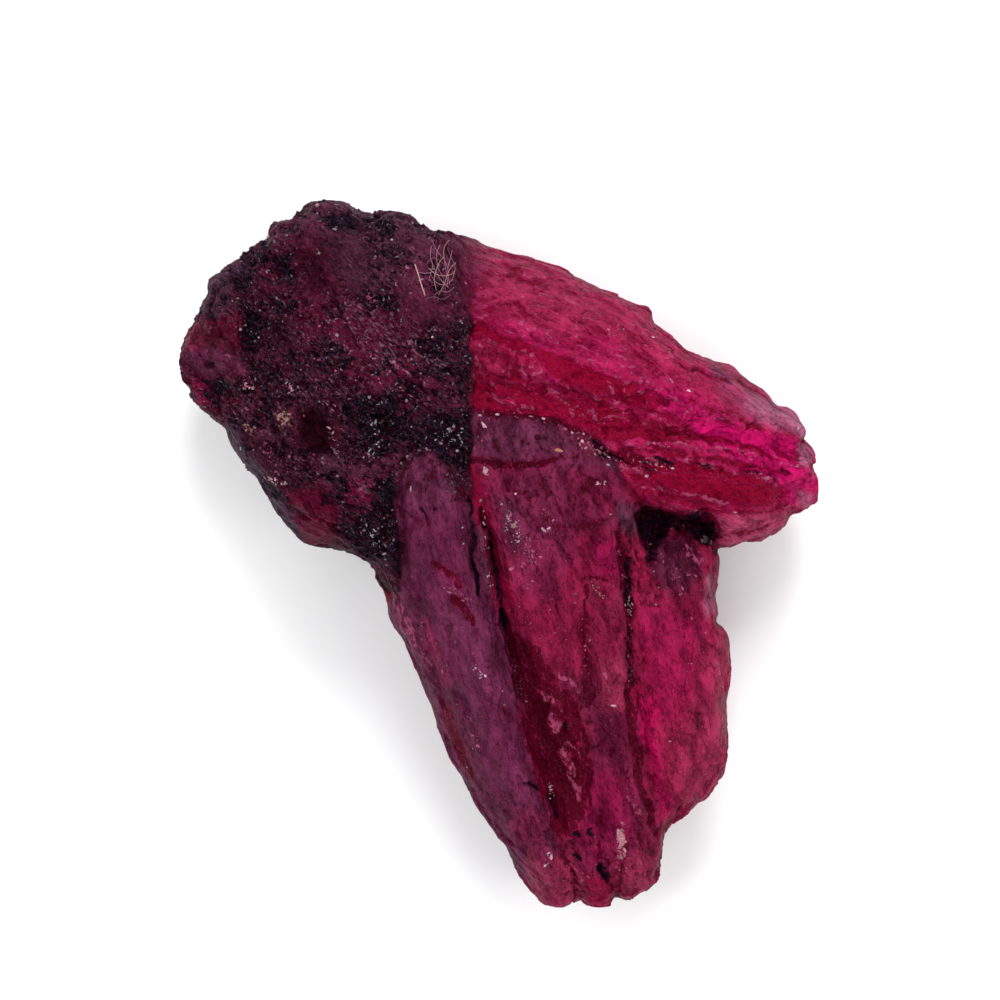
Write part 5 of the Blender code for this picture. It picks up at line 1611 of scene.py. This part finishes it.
class RUBY_OT_stone(bpy.types.Operator):
    """Put the finished skin of the ruby crystal in place of its solid"""

    bl_idname = "ruby.stone"
    bl_label = "Ruby crystal"

    def execute(self, context):
        scene = context.scene
        mesh = stone_mesh(scene.ruby_shape)
        places, normals = vertex_places(mesh)
        colours, layers = stone_paint(places, normals, relief_of(mesh), paints_of(scene))
        put_paint(mesh, colours)
        for name, cover in layers.items():
            put_mask(mesh, name, cover)
        stone = finished_piece("ruby_stone", mesh, stone_finish(scene.ruby_finish, scene.ruby_colours))
        stone.data.shade_smooth()
        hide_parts(NODE)
        return {"FINISHED"}


class RUBY_OT_grains(bpy.types.Operator):
    """Set the pale mineral grains and chips into the skin, with crumbs that partly stand in for glints"""

    bl_idname = "ruby.grains"
    bl_label = "Pale grains"

    def execute(self, context):
        mesh = grains_mesh(stone_skin(), context.scene.ruby_shape, paints_of(context.scene))
        finished_piece("pale_grains", mesh, grain_finish(context.scene.ruby_finish))
        return {"FINISHED"}


class RUBY_OT_lint(bpy.types.Operator):
    """Lay the fibres on top of the lump"""

    bl_idname = "ruby.lint"
    bl_label = "Lint"

    def execute(self, context):
        finished_piece("lint", lint_mesh(stone_skin(), paints_of(context.scene)), lint_finish())
        return {"FINISHED"}


# Where each lamp hangs, in degrees and metres, how wide it is, and its share of the power.
Lamp = namedtuple("Lamp", "name azimuth elevation distance size share")

LAMPS = (
    Lamp("key_lamp", 85, 46, 0.34, 0.16, 0.38),
    Lamp("left_lamp", 175, 50, 0.36, 0.24, 0.20),
    Lamp("right_lamp", -15, 50, 0.36, 0.24, 0.20),
    Lamp("front_lamp", -100, 50, 0.38, 0.26, 0.22),
)


FLOOR_HALF = 2.0
SENSOR_WIDTH = 36
VIEW_MIDDLE = (0, 0.00275, 0.008)  # what the camera looks down on, in metres


class RUBY_OT_stage(bpy.types.Operator):
    """Lay the pale floor, hang the soft lamps and stand the camera over the stone"""

    bl_idname = "ruby.stage"
    bl_label = "Studio"

    def execute(self, context):
        studio = context.scene.ruby_studio
        self.lay_floor(context, studio)
        self.hang_lamps(context, studio)
        self.stand_camera(context, studio)
        context.scene.view_settings.view_transform = "Standard"
        return {"FINISHED"}

    def lay_floor(self, context, studio):
        mesh = bpy.data.meshes.new("floor")
        corners = [(x * FLOOR_HALF, y * FLOOR_HALF, 0) for x, y in ((-1, -1), (1, -1), (1, 1), (-1, 1))]
        mesh.from_pydata(corners, [], [(0, 1, 2, 3)])
        finish = Finish("floor_card")
        tooth = finish.ramp(finish.noise(finish.places(), 3.0, 3.0), 0.3, 0.7, 0.995, 1.0)
        finish.set(Base_Color=finish.times(tuple(studio.floor_colour), tooth))
        finish.set(Roughness=0.9, Specular_IOR_Level=0.1)
        mesh.materials.append(finish.material)
        floor = bpy.data.objects.new("floor", mesh)
        context.scene.collection.objects.link(floor)

    def hang_lamps(self, context, studio):
        for lamp in LAMPS:
            light = bpy.data.lights.new(lamp.name, "AREA")
            light.shape = "DISK"
            light.size = lamp.size
            light.energy = studio.lamp_power * lamp.share
            azimuth, elevation = math.radians(lamp.azimuth), math.radians(lamp.elevation)
            level = math.cos(elevation)
            way = Vector((math.cos(azimuth) * level, math.sin(azimuth) * level, math.sin(elevation)))
            hung = bpy.data.objects.new(lamp.name, light)
            hung.location = way * lamp.distance
            hung.rotation_euler = way.to_track_quat("Z", "Y").to_euler()
            context.scene.collection.objects.link(hung)
        world = bpy.data.worlds.new("studio")
        world.use_nodes = True
        backdrop = world.node_tree.nodes["Background"]
        backdrop.inputs["Color"].default_value = (0.97, 0.98, 1.0, 1)
        backdrop.inputs["Strength"].default_value = studio.sky
        context.scene.world = world

    def stand_camera(self, context, studio):
        data = bpy.data.cameras.new("camera")
        data.lens = studio.lens
        data.sensor_width = SENSOR_WIDTH
        data.sensor_fit = "HORIZONTAL"
        data.clip_start = 0.01
        data.clip_end = 20
        camera = bpy.data.objects.new("camera", data)
        reach = studio.view_width * studio.lens / SENSOR_WIDTH
        camera.location = Vector(VIEW_MIDDLE) + Vector((0, 0, reach))
        context.scene.collection.objects.link(camera)
        context.scene.camera = camera


class RUBY_PT_panel(bpy.types.Panel):
    """Lists the pieces and their settings"""

    bl_idname = "RUBY_PT_panel"
    bl_label = "Raw Ruby"
    bl_space_type = "VIEW_3D"
    bl_region_type = "UI"
    bl_category = "Raw Ruby"

    def draw(self, context):
        scene = context.scene
        for operators, groups in (
            (("ruby.stone",), (scene.ruby_shape, scene.ruby_finish, scene.ruby_colours, scene.ruby_paints)),
            (("ruby.grains", "ruby.lint"), ()),
            (("ruby.stage",), (scene.ruby_studio,)),
        ):
            box = self.layout.box()
            for name in operators:
                box.operator(name)
            for group in groups:
                for setting in group.__annotations__:
                    box.prop(group, setting)


GROUPS = {
    "ruby_shape": RubyShape,
    "ruby_finish": RubyFinish,
    "ruby_paints": RubyPaints,
    "ruby_colours": RubyColours,
    "ruby_studio": RubyStudio,
}
CLASSES = (*GROUPS.values(), RUBY_OT_stone, RUBY_OT_grains, RUBY_OT_lint, RUBY_OT_stage, RUBY_PT_panel)


def register():
    for item in CLASSES:
        bpy.utils.register_class(item)
    for name, group in GROUPS.items():
        setattr(bpy.types.Scene, name, PointerProperty(type=group))


def unregister():
    for name in GROUPS:
        delattr(bpy.types.Scene, name)
    for item in reversed(CLASSES):
        bpy.utils.unregister_class(item)


def main():
    register()
    bpy.ops.ruby.stone()
    bpy.ops.ruby.grains()
    bpy.ops.ruby.lint()
    bpy.ops.ruby.stage()


if __name__ == "__main__":
    main()
